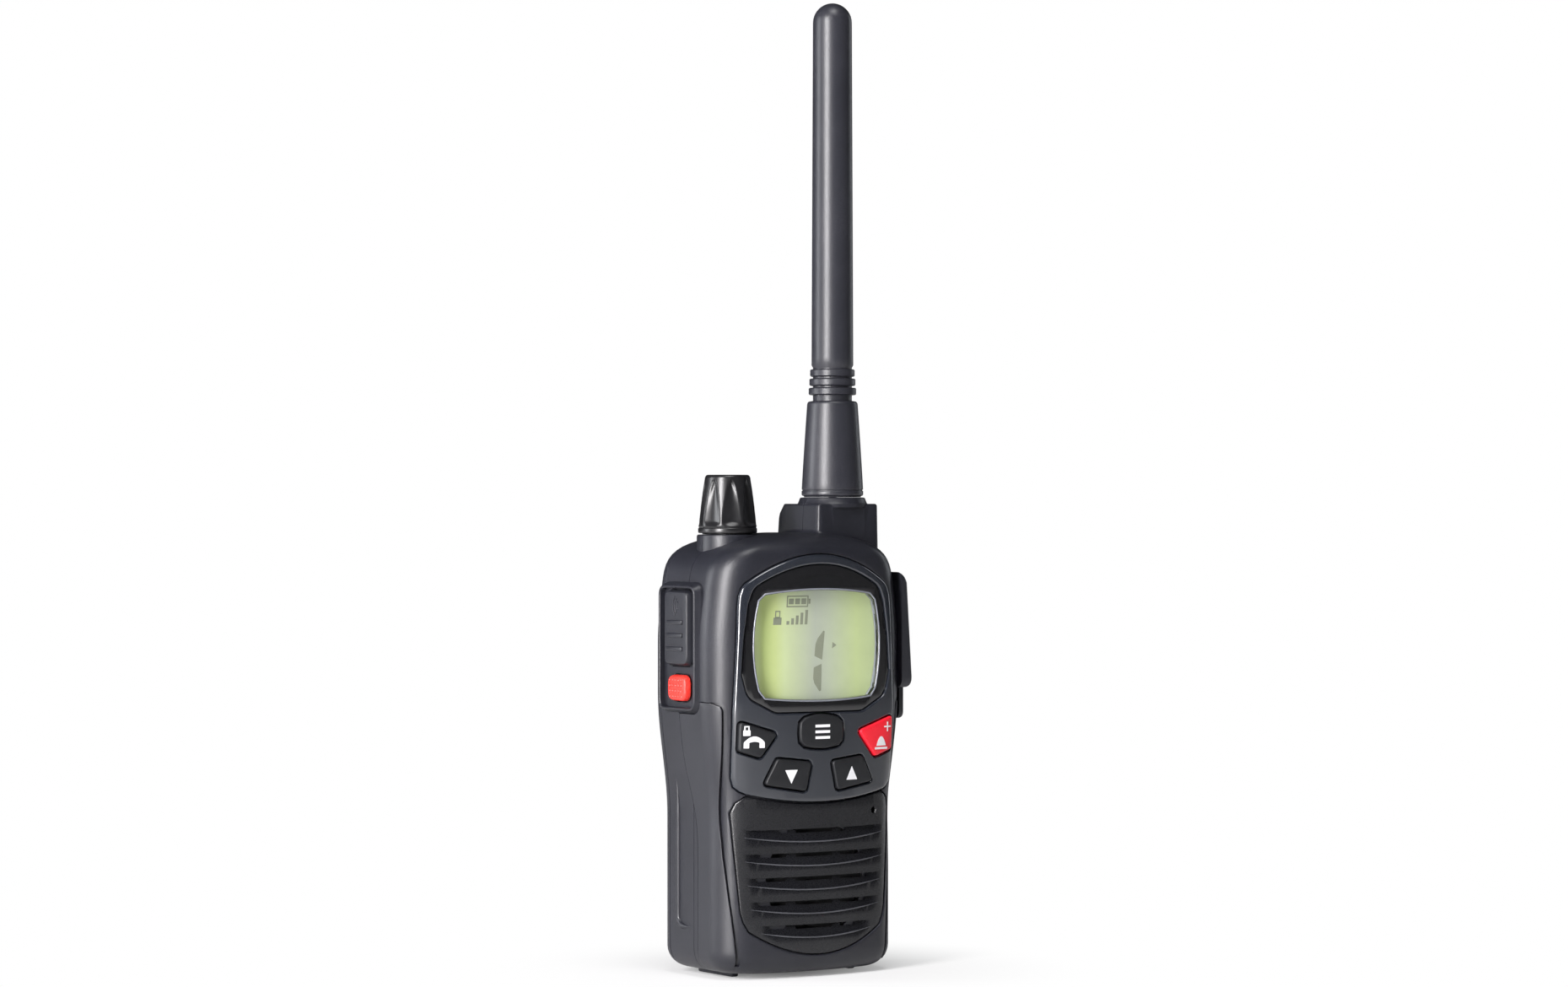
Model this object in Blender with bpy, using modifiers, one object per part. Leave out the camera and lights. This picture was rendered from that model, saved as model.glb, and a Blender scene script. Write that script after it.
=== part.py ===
"""Hand-held two way radio: moulded case, side and front keys, display, antenna, cells and belt clip.

Metres, +Z up. X runs to the right as someone facing the front sees it, the front faces -Y, and the feet
stand on Z = 0. Shapes are laid out about the middle of the case; BODY_SHIFT then moves everything along Y,
so that the belt clip is counted in the depth that the origin is the middle of.
"""
import math

import bmesh
import bpy
from mathutils import Matrix, Vector

for old in list(bpy.data.objects):
    bpy.data.objects.remove(old, do_unlink=True)

# Driving sizes of the case
GAP = 0.0003                # between pieces that seat on each other
BODY_BOTTOM = 0.0015
BODY_TOP = 0.1228           # apex of the domed top
SHOULDER_Z = BODY_TOP - 0.0168   # where the dome begins
DOME_POWER_X = 4            # how late the sides turn in towards the apex
DOME_POWER_Y = 8            # and the front and back
WAIST_HALF = 0.0287         # half width of the lower case
BULGE_HALF = 0.0318         # half width beside the display
BULGE_FALL = 0.80           # how much of the bulge is lost again at the apex
WAIST_Z = 0.044
BULGE_LOW_Z = 0.078
BULGE_HIGH_Z = 0.092
FRONT_Y = 0.0185            # case middle to the crest of the front
BACK_Y = 0.0185
FRONT_CROWN = 0.0020
FRONT_R = 0.0100
REAR_R = 0.0040
BOTTOM_EDGE_X = 0.0060
BOTTOM_EDGE_Y = 0.0035
WALL = 0.0022
SEAM_Y = 0.0015             # where the front and rear housings meet
RECESS = 0.0015             # depth of the seats for bezel, panel and grips
BODY_SHIFT = -0.0034

# Knob and antenna
KNOB_X = -0.0174
ANTENNA_X = 0.0176
TOP_AXIS_Y = 0.0020
KNOB_BOTTOM_R = 0.00825
KNOB_TOP_R = 0.0056
COLLAR_R = 0.0086
COLLAR_TOP_Z = BODY_TOP - 0.0006
KNOB_BASE_Z = COLLAR_TOP_Z + 0.0004
KNOB_TOP_Z = KNOB_BASE_Z + 0.0164
SHAFT_R = 0.0020
SHAFT_LOW_Z = BODY_TOP - 0.0083
BOSS_HALF_X = 0.0104
BOSS_FRONT_Y = -0.0065
BOSS_BACK_Y = 0.0135        # where its top ends and the slope down to the back begins
BOSS_SLOPE_Y = 0.0040
BOSS_ROUND_R = 0.0030
BOSS_TOP_Z = BODY_TOP + 0.0079
BOSS_CONE_Z = BOSS_TOP_Z + 0.0018
BOSS_ROOT_Z = SHOULDER_Z - 0.0010   # hidden inside the case
BOSS_BORE_R = 0.0056
ANTENNA_BASE_Z = BOSS_CONE_Z + 0.0004
BOOT_TOP_Z = ANTENNA_BASE_Z + 0.0267
ANTENNA_TOP_Z = ANTENNA_BASE_Z + 0.1391
BOOT_BASE_R = 0.0087
BOOT_TOP_R = 0.0071
BOOT_MIDDLE_R = 0.0082
ROD_BASE_R = 0.0059
ROD_TOP_R = 0.0055
RING_R = 0.0063
RING_GROWTH = 0.0002         # each ring is wider than the one above it
RING_PITCH = 0.0026
ELEMENT_R = 0.0012
ELEMENT_BORE_R = 0.0016

# Front fittings
BEZEL_PROUD = 0.0006
LENS_PROUD = 0.0003
KEY_PROUD = 0.0012
PANEL_SINK = 0.0004
KEY_TRAVEL = 0.0008
KEY_CLEAR = 0.00035
KEY_BACK_Y = 0.0142
LCD_DEPTH_Y = 0.0146
SPEAKER_Z = 0.0270
SPEAKER_R = 0.0175
LOUVRE_TOP_Z = 0.0410
LOUVRE_PITCH = 0.0066
LOUVRES = 5
SLOT_DROP = 0.0002           # each slot lies just under its louvre
SLOT_HEIGHT = 0.0012
MIC_X = 0.0195
MIC_Z = 0.0453

# Side fittings
POD_PROUD_X = BULGE_HALF + 0.0014        # outer face of the side key frame
POD_FLOOR_X = BULGE_HALF - 0.0015
POD_FRONT_Y = -0.0058
POD_BACK_Y = 0.0130
POD_BOTTOM_Z = 0.0737
POD_TOP_Z = 0.1080
PTT_Z = 0.0965
PTT_HALF_Z = 0.0100
PTT_Y = 0.0050
PTT_HALF_Y = 0.0058
PTT_PROUD_X = BULGE_HALF + 0.0022
PTT_TRAVEL = 0.0012
SIDE_KEY_Z = 0.0799
SIDE_KEY_HALF_Z = 0.0034
SIDE_KEY_HALF_Y = 0.0050
SIDE_KEY_TRAVEL = 0.0008
JACK_FACE_X = BULGE_HALF + 0.0028
JACK_FRONT_Y = -0.0138
JACK_BACK_Y = 0.0045
JACK_BOTTOM_Z = 0.0790
JACK_TOP_Z = 0.1115
JACK_SINK = 0.0010
JACK_HINGE_X = BULGE_HALF - 0.0002
GRIP_TOP_Z = 0.0762
GRIP_DEPTH = 0.0012

# Rear fittings
DOOR_HALF_X = 0.0245
DOOR_BOTTOM_Z = 0.0075
DOOR_TOP_Z = 0.0690
DOOR_T = 0.0018
CELL_R = 0.0071
CELL_LENGTH = 0.0492
CELL_PITCH = 0.0147
CELL_FIRST_Z = 0.0160
CELL_Y = 0.0090
CELLS = 4
TRAY_WALL = 0.0008
CONTACT_T = 0.0004
CLIP_PIN_Y = BACK_Y + 0.0044
CLIP_PIN_Z = 0.1010
CLIP_PIN_R = 0.0010
CLIP_HALF_X = 0.0080
CLIP_TOP_Z = 0.1085
CLIP_BOTTOM_Z = 0.0730
CLIP_FACE_Y = BACK_Y + 0.0053   # inner face of the clip's blade
CLIP_T = 0.0020
BRACKET_T = 0.0014
EAR_T = 0.0018
BOARD_Y = -0.0044
BOARD_T = 0.0012
BOARD_HALF_X = 0.0225
BOARD_TOP_Z = 0.1065
SCREW_R = 0.0011
SCREW_HEAD_R = 0.0021
FOOT_TOP_Z = 0.0026
FOOT_INNER_X = 0.0182
FOOT_OUTER_X = 0.0206
FOOT_FRONT_Y = -0.0050
FOOT_BACK_Y = 0.0125

FAR = 0.060                 # longer than anything that a cutter has to pass

radio = bpy.data.collections.new("two_way_radio")
cutters = bpy.data.collections.new("cutters")
bpy.context.scene.collection.children.link(radio)
bpy.context.scene.collection.children.link(cutters)


def make_material(name, colour, roughness, metallic=0.0):
    material = bpy.data.materials.new(name)
    material.use_nodes = True
    shader = material.node_tree.nodes["Principled BSDF"]
    shader.inputs["Base Color"].default_value = (*colour, 1.0)
    shader.inputs["Roughness"].default_value = roughness
    shader.inputs["Metallic"].default_value = metallic
    return material


case_plastic = make_material("case_plastic", (0.055, 0.054, 0.062), 0.45)
grip_rubber = make_material("grip_rubber", (0.045, 0.044, 0.050), 0.62)
panel_black = make_material("panel_black", (0.012, 0.012, 0.014), 0.55)
bezel_smoke = make_material("bezel_smoke", (0.070, 0.080, 0.100), 0.15)
lens_black = make_material("lens_black", (0.010, 0.010, 0.012), 0.05)
display_green = make_material("display_green", (0.48, 0.56, 0.30), 0.35)
key_rubber = make_material("key_rubber", (0.014, 0.014, 0.017), 0.60)
key_red = make_material("key_red", (0.60, 0.015, 0.020), 0.45)
button_red = make_material("button_red", (0.85, 0.075, 0.040), 0.45)
knob_black = make_material("knob_black", (0.015, 0.015, 0.017), 0.20)
antenna_rubber = make_material("antenna_rubber", (0.030, 0.030, 0.034), 0.50)
board_green = make_material("board_green", (0.02, 0.12, 0.05), 0.40)
steel = make_material("steel", (0.56, 0.56, 0.58), 0.30, 1.0)
brass = make_material("brass", (0.72, 0.52, 0.24), 0.30, 1.0)
cell_wrap = make_material("cell_wrap", (0.10, 0.18, 0.36), 0.35)
paper_cone = make_material("paper_cone", (0.03, 0.03, 0.03), 0.85)
inner_plastic = make_material("inner_plastic", (0.18, 0.18, 0.19), 0.50)


def add_object(name, bm, collection, material=None):
    """Turns a bmesh into an object; a cutter is drawn as a wire."""
    bmesh.ops.recalc_face_normals(bm, faces=bm.faces)
    mesh = bpy.data.meshes.new(name)
    bm.to_mesh(mesh)
    bm.free()
    obj = bpy.data.objects.new(name, mesh)
    collection.objects.link(obj)
    if collection is cutters:
        obj.hide_render = True
        obj.display_type = "WIRE"
    if material:
        mesh.materials.append(material)
    return obj


def boolean(target, operation, *others):
    for other in others:
        modifier = target.modifiers.new(other.name, "BOOLEAN")
        modifier.operation = operation
        modifier.solver = "EXACT"
        modifier.object = other
    return target


def set_origin(obj, point):
    """Moves the object's origin to a point, such as its joint's axis, and leaves its shape in place."""
    obj.data.transform(Matrix.Translation(-Vector(point)))
    obj.location = point
    return obj


def box(name, low, high, collection=cutters, material=None):
    bm = bmesh.new()
    size = [b - a for a, b in zip(low, high)]
    middle = [(a + b) / 2 for a, b in zip(low, high)]
    bmesh.ops.create_cube(bm, size=1.0, matrix=Matrix.Translation(middle) @ Matrix.Diagonal((*size, 1.0)))
    return add_object(name, bm, collection, material)


def boxes(name, corner_pairs, collection=cutters, material=None):
    """Several separate boxes as one cutter."""
    bm = bmesh.new()
    for low, high in corner_pairs:
        size = [b - a for a, b in zip(low, high)]
        middle = [(a + b) / 2 for a, b in zip(low, high)]
        matrix = Matrix.Translation(middle) @ Matrix.Diagonal((*size, 1.0))
        bmesh.ops.create_cube(bm, size=1.0, matrix=matrix)
    return add_object(name, bm, collection, material)


AXIS_TURN = {
    "X": Matrix(((0, 0, 1), (1, 0, 0), (0, 1, 0))).to_4x4(),
    "Y": Matrix(((1, 0, 0), (0, 0, -1), (0, 1, 0))).to_4x4(),
    "Z": Matrix.Identity(4),
}


def cylinder(name, axis, centre, radius, start, end, collection=cutters, material=None, sides=20,
             end_radius=None):
    """A cylinder or cone along one axis; centre holds the two other coordinates in x, y, z order."""
    low, high = min(start, end), max(start, end)
    place = {"X": ((low + high) / 2, *centre), "Z": (*centre, (low + high) / 2)}
    place["Y"] = (centre[0], (low + high) / 2, centre[1])
    first, second = radius, radius if end_radius is None else end_radius
    if axis == "Y":
        first, second = second, first
    bm = bmesh.new()
    bmesh.ops.create_cone(bm, cap_ends=True, segments=sides, radius1=first, radius2=second, depth=high - low,
                          matrix=Matrix.Translation(place[axis]) @ AXIS_TURN[axis])
    obj = add_object(name, bm, collection, material)
    obj.data.shade_smooth()
    obj.data.set_sharp_from_angle(angle=math.radians(40))
    return obj


def plate(name, outline, axis, start, end, collection=cutters, material=None):
    """A flat outline extruded along an axis: (x, z) along Y, (y, z) along X, (x, y) along Z."""
    curve = bpy.data.curves.new(name, "CURVE")
    curve.dimensions = "2D"
    curve.fill_mode = "BOTH"
    curve.extrude = abs(end - start) / 2
    spline = curve.splines.new("POLY")
    spline.points.add(len(outline) - 1)
    for point, (u, v) in zip(spline.points, outline):
        point.co = (u, v, 0.0, 1.0)
    spline.use_cyclic_u = True
    flat = bpy.data.objects.new(name + "_outline", curve)
    cutters.objects.link(flat)
    bpy.context.view_layer.update()
    graph = bpy.context.evaluated_depsgraph_get()
    mesh = bpy.data.meshes.new_from_object(flat.evaluated_get(graph))
    bpy.data.objects.remove(flat, do_unlink=True)
    bm = bmesh.new()
    bm.from_mesh(mesh)
    bpy.data.meshes.remove(mesh)
    bmesh.ops.remove_doubles(bm, verts=bm.verts, dist=0.00002)
    bmesh.ops.dissolve_limit(bm, angle_limit=math.radians(1), verts=bm.verts, edges=bm.edges)
    middle = Vector((0.0, 0.0, 0.0))
    middle["XYZ".index(axis)] = (start + end) / 2
    bm.transform(Matrix.Translation(middle) @ AXIS_TURN[axis])
    return add_object(name, bm, collection, material)


def turned(name, profile, centre, collection, material, steps=20):
    """A profile of (radius, z) points, from the top down its outer side, turned about a vertical axis."""
    mesh = bpy.data.meshes.new(name)
    edges = [(i, i + 1) for i in range(len(profile) - 1)]
    mesh.from_pydata([(radius, 0.0, z) for radius, z in profile], edges, [])
    obj = bpy.data.objects.new(name, mesh)
    collection.objects.link(obj)
    mesh.materials.append(material)
    screw = obj.modifiers.new("turn", "SCREW")
    screw.steps = screw.render_steps = steps
    screw.use_merge_vertices = True
    screw.merge_threshold = 0.00001
    screw.use_smooth_shade = True
    obj.location = (*centre, 0.0)
    return obj


def arc(centre, radius, start, end, steps):
    """Points on an arc, with its angles in degrees."""
    angles = [math.radians(start + (end - start) * i / steps) for i in range(steps + 1)]
    return [(centre[0] + radius * math.cos(a), centre[1] + radius * math.sin(a)) for a in angles]


def bow(first, last, rise, steps):
    """Points on a shallow arc between two points, standing rise to the left of the line between them."""
    (x0, y0), (x1, y1) = first, last
    length = math.hypot(x1 - x0, y1 - y0)
    normal = ((y0 - y1) / length, (x1 - x0) / length)
    points = []
    for i in range(steps + 1):
        t = i / steps
        height = rise * (1 - (2 * t - 1) ** 2)
        points.append((x0 + (x1 - x0) * t + normal[0] * height, y0 + (y1 - y0) * t + normal[1] * height))
    return points


def rounded(corners, radius, steps=3):
    """A polygon with its corners rounded."""
    points = []
    for i, corner in enumerate(corners):
        here = Vector(corner)
        before = (Vector(corners[i - 1]) - here)
        after = (Vector(corners[(i + 1) % len(corners)]) - here)
        half = before.angle(after) / 2
        reach = min(radius / math.tan(half), before.length * 0.45, after.length * 0.45)
        first = here + before.normalized() * reach
        last = here + after.normalized() * reach
        for k in range(steps + 1):
            t = k / steps
            points.append(tuple(first * (1 - t) ** 2 + here * 2 * t * (1 - t) + last * t ** 2))
    return points


def grown(outline, distance):
    """The outline moved outwards by a distance, along the mean of the two edges' normals at each point."""
    area = sum(a[0] * b[1] - b[0] * a[1] for a, b in zip(outline, outline[1:] + outline[:1]))
    side = 1 if area > 0 else -1
    result = []
    for i, point in enumerate(outline):
        before = Vector(point) - Vector(outline[i - 1])
        after = Vector(outline[(i + 1) % len(outline)]) - Vector(point)
        n1 = Vector((before.y, -before.x)).normalized()
        n2 = Vector((after.y, -after.x)).normalized()
        mitre = n1 + n2
        scale = distance * side * 2 / max(mitre.length_squared, 1.0)
        result.append((point[0] + mitre.x * scale, point[1] + mitre.y * scale))
    return result


def mirrored(outline):
    """The other half of a symmetric outline: the points at -x, in reverse order."""
    return [(-x, z) for x, z in reversed(outline)]


def smooth(value, low, high):
    t = min(1.0, max(0.0, (value - low) / (high - low)))
    return t * t * (3 - 2 * t)


def half_width(z):
    """Half the width of the case at a height: narrow in the hand, wider beside the display."""
    rise = smooth(z, WAIST_Z, BULGE_LOW_Z)
    fall = smooth(z, BULGE_HIGH_Z, BODY_TOP)
    return WAIST_HALF + (BULGE_HALF - WAIST_HALF) * rise * (1 - BULGE_FALL * fall)


def case_levels(offset):
    """Heights of the case's sections, each with how far its edge rounding pulls it in along X and Y."""
    low, high = BODY_BOTTOM - offset, BODY_TOP + offset
    bottom_x, bottom_y = BOTTOM_EDGE_X + offset, BOTTOM_EDGE_Y + offset
    levels = []
    for degrees in (90, 60, 30, 0):
        angle = math.radians(degrees)
        pull = 1 - math.cos(angle)
        levels.append((low + bottom_x * (1 - math.sin(angle)), bottom_x * pull, bottom_y * pull))
    first, between = low + bottom_x, 9
    for i in range(1, between + 1):
        levels.append((first + (SHOULDER_Z - first) * i / between, 0.0, 0.0))
    for rise in (0.30, 0.50, 0.64, 0.76, 0.85, 0.92, 0.97, 0.995):
        z = SHOULDER_Z + (high - SHOULDER_Z) * rise
        pull_x = (half_width(z) + offset) * (1 - math.sqrt(1 - rise ** DOME_POWER_X))
        pull_y = (FRONT_Y + offset) * (1 - math.sqrt(1 - rise ** DOME_POWER_Y))
        levels.append((z, pull_x, pull_y))
    return levels


def case_section(z, pull_x, pull_y, offset):
    """One level outline: crowned front, large front corners, flat sides, small rear corners, flat back."""
    a = half_width(z) + offset - pull_x
    front, back = FRONT_Y + offset - pull_y, BACK_Y + offset - pull_y
    shrink = min(a / half_width(z), front / FRONT_Y, 1.0)
    front_r = (FRONT_R + min(offset, 0.0)) * shrink
    rear_r = (REAR_R + min(offset, 0.0)) * shrink
    crown = FRONT_CROWN * shrink
    flat = a - front_r
    half = [(flat * i / 4, -front + crown * (i / 4) ** 2) for i in range(5)]
    corner_y = -(front - crown - front_r)
    half += arc((flat, corner_y), front_r, -90, 0, 5)[1:]
    half += arc((a - rear_r, back - rear_r), rear_r, 0, 90, 3)
    half.append((0.0, back))
    other = [(-x, y) for x, y in reversed(half[1:-1])]
    return [Vector((x, y, z)) for x, y in half + other]


def case_form(name, offset):
    """The case's outer form as a closed solid, grown or shrunk by an offset."""
    bm = bmesh.new()
    rings = []
    for z, pull_x, pull_y in case_levels(offset):
        rings.append([bm.verts.new(co) for co in case_section(z, pull_x, pull_y, offset)])
    for lower, upper in zip(rings, rings[1:]):
        for i in range(len(lower)):
            k = (i + 1) % len(lower)
            bm.faces.new((lower[i], lower[k], upper[k], upper[i]))
    bm.faces.new(list(reversed(rings[0])))
    bm.faces.new(rings[-1])
    return add_object(name, bm, cutters)


def seat(name, outline, form):
    """The seat for a front fitting: its outline with a gap all round, down to the seat's form."""
    cutter = plate(name, grown(outline, GAP), "Y", -FAR / 2, -0.004)
    return boolean(cutter, "DIFFERENCE", form)


def fitting(name, outline, outer, inner, material):
    """A front fitting that follows the crown of the case between two forms."""
    obj = plate(name, outline, "Y", -FAR / 2, -0.004, radio, material)
    boolean(obj, "INTERSECT", outer)
    return boolean(obj, "DIFFERENCE", inner)


# Outlines on the front, as (x, z)
BEZEL = [(-0.0264, 0.0740), (-0.0262, 0.0545), (-0.0246, 0.0519)]
BEZEL += bow((-0.0225, 0.0510), (0.0225, 0.0510), -0.0026, 6)
BEZEL += [(0.0246, 0.0519), (0.0262, 0.0545), (0.0264, 0.0740)]
BEZEL += bow((0.0246, 0.1075), (-0.0246, 0.1075), -0.0093, 12)

LENS = [(-0.0241, 0.0850), (-0.0232, 0.0790), (-0.0212, 0.0765), (-0.0143, 0.0737), (0.0143, 0.0737)]
LENS += [(0.0212, 0.0765), (0.0232, 0.0790), (0.0241, 0.0850), (0.0236, 0.0940)]
LENS += bow((0.0212, 0.1072), (-0.0212, 0.1072), -0.0070, 10) + [(-0.0236, 0.0940)]

LCD = bow((-0.0168, 0.0790), (0.0168, 0.0790), -0.0016, 4) + bow((0.0168, 0.0790), (0.0168, 0.1050),
                                                                 -0.0028, 4)[1:]
LCD += bow((0.0168, 0.1050), (-0.0168, 0.1050), -0.0016, 4)[1:] + bow((-0.0168, 0.1050), (-0.0168, 0.0790),
                                                                      -0.0028, 4)[1:-1]

CALL_KEY = rounded([(-0.0252, 0.0711), (-0.0252, 0.0630), (-0.0190, 0.0611), (-0.0140, 0.0678)], 0.0012)
EMERGENCY_KEY = rounded([(0.0254, 0.0716), (0.0254, 0.0624), (0.0188, 0.0604), (0.0126, 0.0678)], 0.0012)
MENU_KEY = rounded([(-0.0072, 0.0716), (-0.0072, 0.0640), (0.0072, 0.0640), (0.0072, 0.0716)], 0.0020)
DOWN_KEY = rounded([(-0.0140, 0.0607), (-0.0178, 0.0536), (-0.0052, 0.0516), (-0.0034, 0.0595)], 0.0012)

PANEL = [(-0.0258, 0.0468), (-0.0246, 0.0300), (-0.0236, 0.0185), (-0.0218, 0.0138), (-0.0172, 0.0098)]
PANEL += bow((-0.0130, 0.0080), (0.0130, 0.0080), -0.0014, 4)
PANEL += [(0.0172, 0.0098), (0.0218, 0.0138), (0.0236, 0.0185), (0.0246, 0.0300), (0.0258, 0.0468)]
PANEL += bow((0.0225, 0.0490), (-0.0225, 0.0490), 0.0026, 6)

outer_form = case_form("outer_form", 0.0)
inner_form = case_form("inner_form", -WALL)
seat_form = case_form("seat_form", -RECESS)
fitting_back = case_form("fitting_back", -(RECESS - GAP))
bezel_face = case_form("bezel_face", BEZEL_PROUD)
lens_face = case_form("lens_face", LENS_PROUD)
key_face = case_form("key_face", KEY_PROUD)
panel_face = case_form("panel_face", -PANEL_SINK)

# The whole outer skin: case, antenna boss with its cone, and the knob's collar
boss_base_y = BOSS_BACK_Y + BOSS_SLOPE_Y
boss_side = [(BOSS_FRONT_Y - 0.010, BOSS_ROOT_Z), (boss_base_y, BOSS_ROOT_Z), (boss_base_y, BODY_TOP),
             (BOSS_BACK_Y, BOSS_TOP_Z), (BOSS_FRONT_Y - 0.010, BOSS_TOP_Z)]
boss = plate("boss", boss_side, "X", ANTENNA_X - BOSS_HALF_X - 0.002, ANTENNA_X + BOSS_HALF_X + 0.002)
boss_plan = [(ANTENNA_X - BOSS_HALF_X, BOSS_FRONT_Y), (ANTENNA_X + BOSS_HALF_X, BOSS_FRONT_Y),
             (ANTENNA_X + BOSS_HALF_X, boss_base_y + 0.010), (ANTENNA_X - BOSS_HALF_X, boss_base_y + 0.010)]
boolean(boss, "INTERSECT", plate("boss_plan", rounded(boss_plan, BOSS_ROUND_R), "Z", BOSS_ROOT_Z - 0.010,
                                 BOSS_TOP_Z + 0.010))
boss_cone = cylinder("boss_cone", "Z", (ANTENNA_X, TOP_AXIS_Y), BOSS_HALF_X - 0.0001, BOSS_TOP_Z - 0.0005,
                     BOSS_CONE_Z, sides=24, end_radius=BOOT_BASE_R + 0.0003)
collar = cylinder("collar", "Z", (KNOB_X, TOP_AXIS_Y), COLLAR_R, SHOULDER_Z + 0.004, COLLAR_TOP_Z, sides=24)
boolean(outer_form, "UNION", boss, boss_cone, collar)
boss_bore = cylinder("boss_bore", "Z", (ANTENNA_X, TOP_AXIS_Y), BOSS_BORE_R, BOSS_ROOT_Z - 0.0050,
                     BOSS_CONE_Z + 0.0075, sides=20)
shaft_bore = cylinder("shaft_bore", "Z", (KNOB_X, TOP_AXIS_Y), SHAFT_R + 0.0006, BOSS_ROOT_Z - 0.0050,
                      KNOB_BASE_Z + 0.0074, sides=16)

# Screws: one at the top, two at the sides, each in a post of the front housing
SCREW_TOP_Z = BODY_TOP - 0.0103
SCREW_SIDE_X = WAIST_HALF - 0.0025
SCREWS = [(0.0, SCREW_TOP_Z), (-SCREW_SIDE_X, 0.0730), (SCREW_SIDE_X, 0.0730)]
post_top = box("post_top", (-0.0030, -0.0090, SCREW_TOP_Z - 0.0035),
               (0.0030, SEAM_Y - 0.0004, BODY_TOP - 0.0012))
posts = [post_top]
for sign, side in ((-1, "left"), (1, "right")):
    x_in, x_out = sorted((sign * (SCREW_SIDE_X - 0.0028), sign * (SCREW_SIDE_X + 0.0038)))
    posts.append(box("post_" + side + "_side", (x_in, -0.0060, 0.0702), (x_out, SEAM_Y - 0.0004, 0.0758)))


def screw_cutters():
    result = []
    for i, (x, z) in enumerate(SCREWS):
        result.append(cylinder(f"screw_bore_{i}", "Y", (x, z), SCREW_R + GAP, -0.0050, FAR / 2, sides=12))
        result.append(cylinder(f"screw_head_seat_{i}", "Y", (x, z), SCREW_HEAD_R + GAP, BACK_Y - 0.0014,
                               FAR / 2))
    return result


screw_holes = screw_cutters()

# Side openings
pod_outline = rounded([(POD_FRONT_Y, POD_BOTTOM_Z), (POD_BACK_Y, POD_BOTTOM_Z), (POD_BACK_Y, POD_TOP_Z),
                       (POD_FRONT_Y, POD_TOP_Z)], 0.0030)
pod_seat = plate("pod_seat", grown(pod_outline, GAP), "X", -FAR, -POD_FLOOR_X)
ptt_outline = rounded([(PTT_Y - PTT_HALF_Y, PTT_Z - PTT_HALF_Z), (PTT_Y + PTT_HALF_Y, PTT_Z - PTT_HALF_Z),
                       (PTT_Y + PTT_HALF_Y, PTT_Z + PTT_HALF_Z), (PTT_Y - PTT_HALF_Y,
                                                                  PTT_Z + PTT_HALF_Z)], 0.0016)
side_key_outline = rounded([(PTT_Y - SIDE_KEY_HALF_Y, SIDE_KEY_Z - SIDE_KEY_HALF_Z),
                            (PTT_Y + SIDE_KEY_HALF_Y, SIDE_KEY_Z - SIDE_KEY_HALF_Z),
                            (PTT_Y + SIDE_KEY_HALF_Y, SIDE_KEY_Z + SIDE_KEY_HALF_Z),
                            (PTT_Y - SIDE_KEY_HALF_Y, SIDE_KEY_Z + SIDE_KEY_HALF_Z)], 0.0026)
stem_holes = boxes("stem_holes", [
    ((-FAR, PTT_Y - 0.0026, PTT_Z - 0.0032), (-0.0270, PTT_Y + 0.0026, PTT_Z + 0.0032)),
    ((-FAR, PTT_Y - 0.0020, SIDE_KEY_Z - 0.0020), (-0.0270, PTT_Y + 0.0020, SIDE_KEY_Z + 0.0020)),
])
jack_outline = rounded([(JACK_FRONT_Y, JACK_BOTTOM_Z), (JACK_BACK_Y, JACK_BOTTOM_Z),
                        (JACK_BACK_Y, JACK_TOP_Z),
                        (JACK_FRONT_Y, JACK_TOP_Z)], 0.0030)
jack_profile = [(0.018, JACK_BOTTOM_Z - 0.020), (JACK_FACE_X, JACK_BOTTOM_Z - 0.020), (JACK_FACE_X, 0.0995),
                (JACK_FACE_X - 0.0008, 0.1060), (JACK_FACE_X - 0.0024, JACK_TOP_Z - 0.0008),
                (JACK_FACE_X - 0.0034, JACK_TOP_Z + 0.001), (0.018, JACK_TOP_Z + 0.001)]
jack_seat_form = case_form("jack_seat_form", -(JACK_SINK + GAP))
jack_seat = plate("jack_seat", grown(jack_outline, 0.0005), "X", 0.018, FAR)
boolean(jack_seat, "DIFFERENCE", jack_seat_form)
SOCKETS = [("audio_socket", 0.1010, 0.0024), ("charge_socket", 0.0880, 0.0018)]
socket_bores = [cylinder(name + "_bore", "X", (-0.0030, z), radius, 0.0270, FAR, sides=12)
                for name, z, radius in SOCKETS]

# Housings
front_half = (-FAR, -FAR, -0.01), (FAR, SEAM_Y - GAP / 2, 0.15)
rear_half = (-FAR, SEAM_Y + GAP / 2, -0.01), (FAR, FAR, 0.15)
front_housing = box("front_housing", *front_half, radio, case_plastic)
boolean(front_housing, "INTERSECT", outer_form)
boolean(front_housing, "DIFFERENCE", inner_form)
boolean(front_housing, "UNION", *posts)
rear_housing = box("rear_housing", *rear_half, radio, case_plastic)
boolean(rear_housing, "INTERSECT", outer_form)
boolean(rear_housing, "DIFFERENCE", inner_form)

keys = {
    "call_key": (CALL_KEY, key_rubber),
    "menu_key": (MENU_KEY, key_rubber),
    "emergency_key": (EMERGENCY_KEY, key_red),
    "down_key": (DOWN_KEY, key_rubber),
    "up_key": (mirrored(DOWN_KEY), key_rubber),
}
key_holes = [plate(name + "_hole", grown(outline, KEY_CLEAR), "Y", -FAR / 2, -0.010)
             for name, (outline, _) in keys.items()]
lens_hole = plate("lens_hole", grown(LENS, GAP), "Y", -FAR / 2, -0.010)
display_window = plate("display_window", grown(LCD, 0.0008), "Y", -FAR / 2, -0.010)
speaker_window = cylinder("speaker_window", "Y", (0.0, SPEAKER_Z), SPEAKER_R - 0.0015, -FAR / 2, -0.010,
                          sides=24)
mic_bore = cylinder("mic_bore", "Y", (MIC_X, MIC_Z), 0.0007, -FAR / 2, -0.010, sides=10)
boolean(front_housing, "DIFFERENCE", seat("bezel_seat", BEZEL, seat_form),
        seat("panel_seat", PANEL, seat_form))
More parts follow.
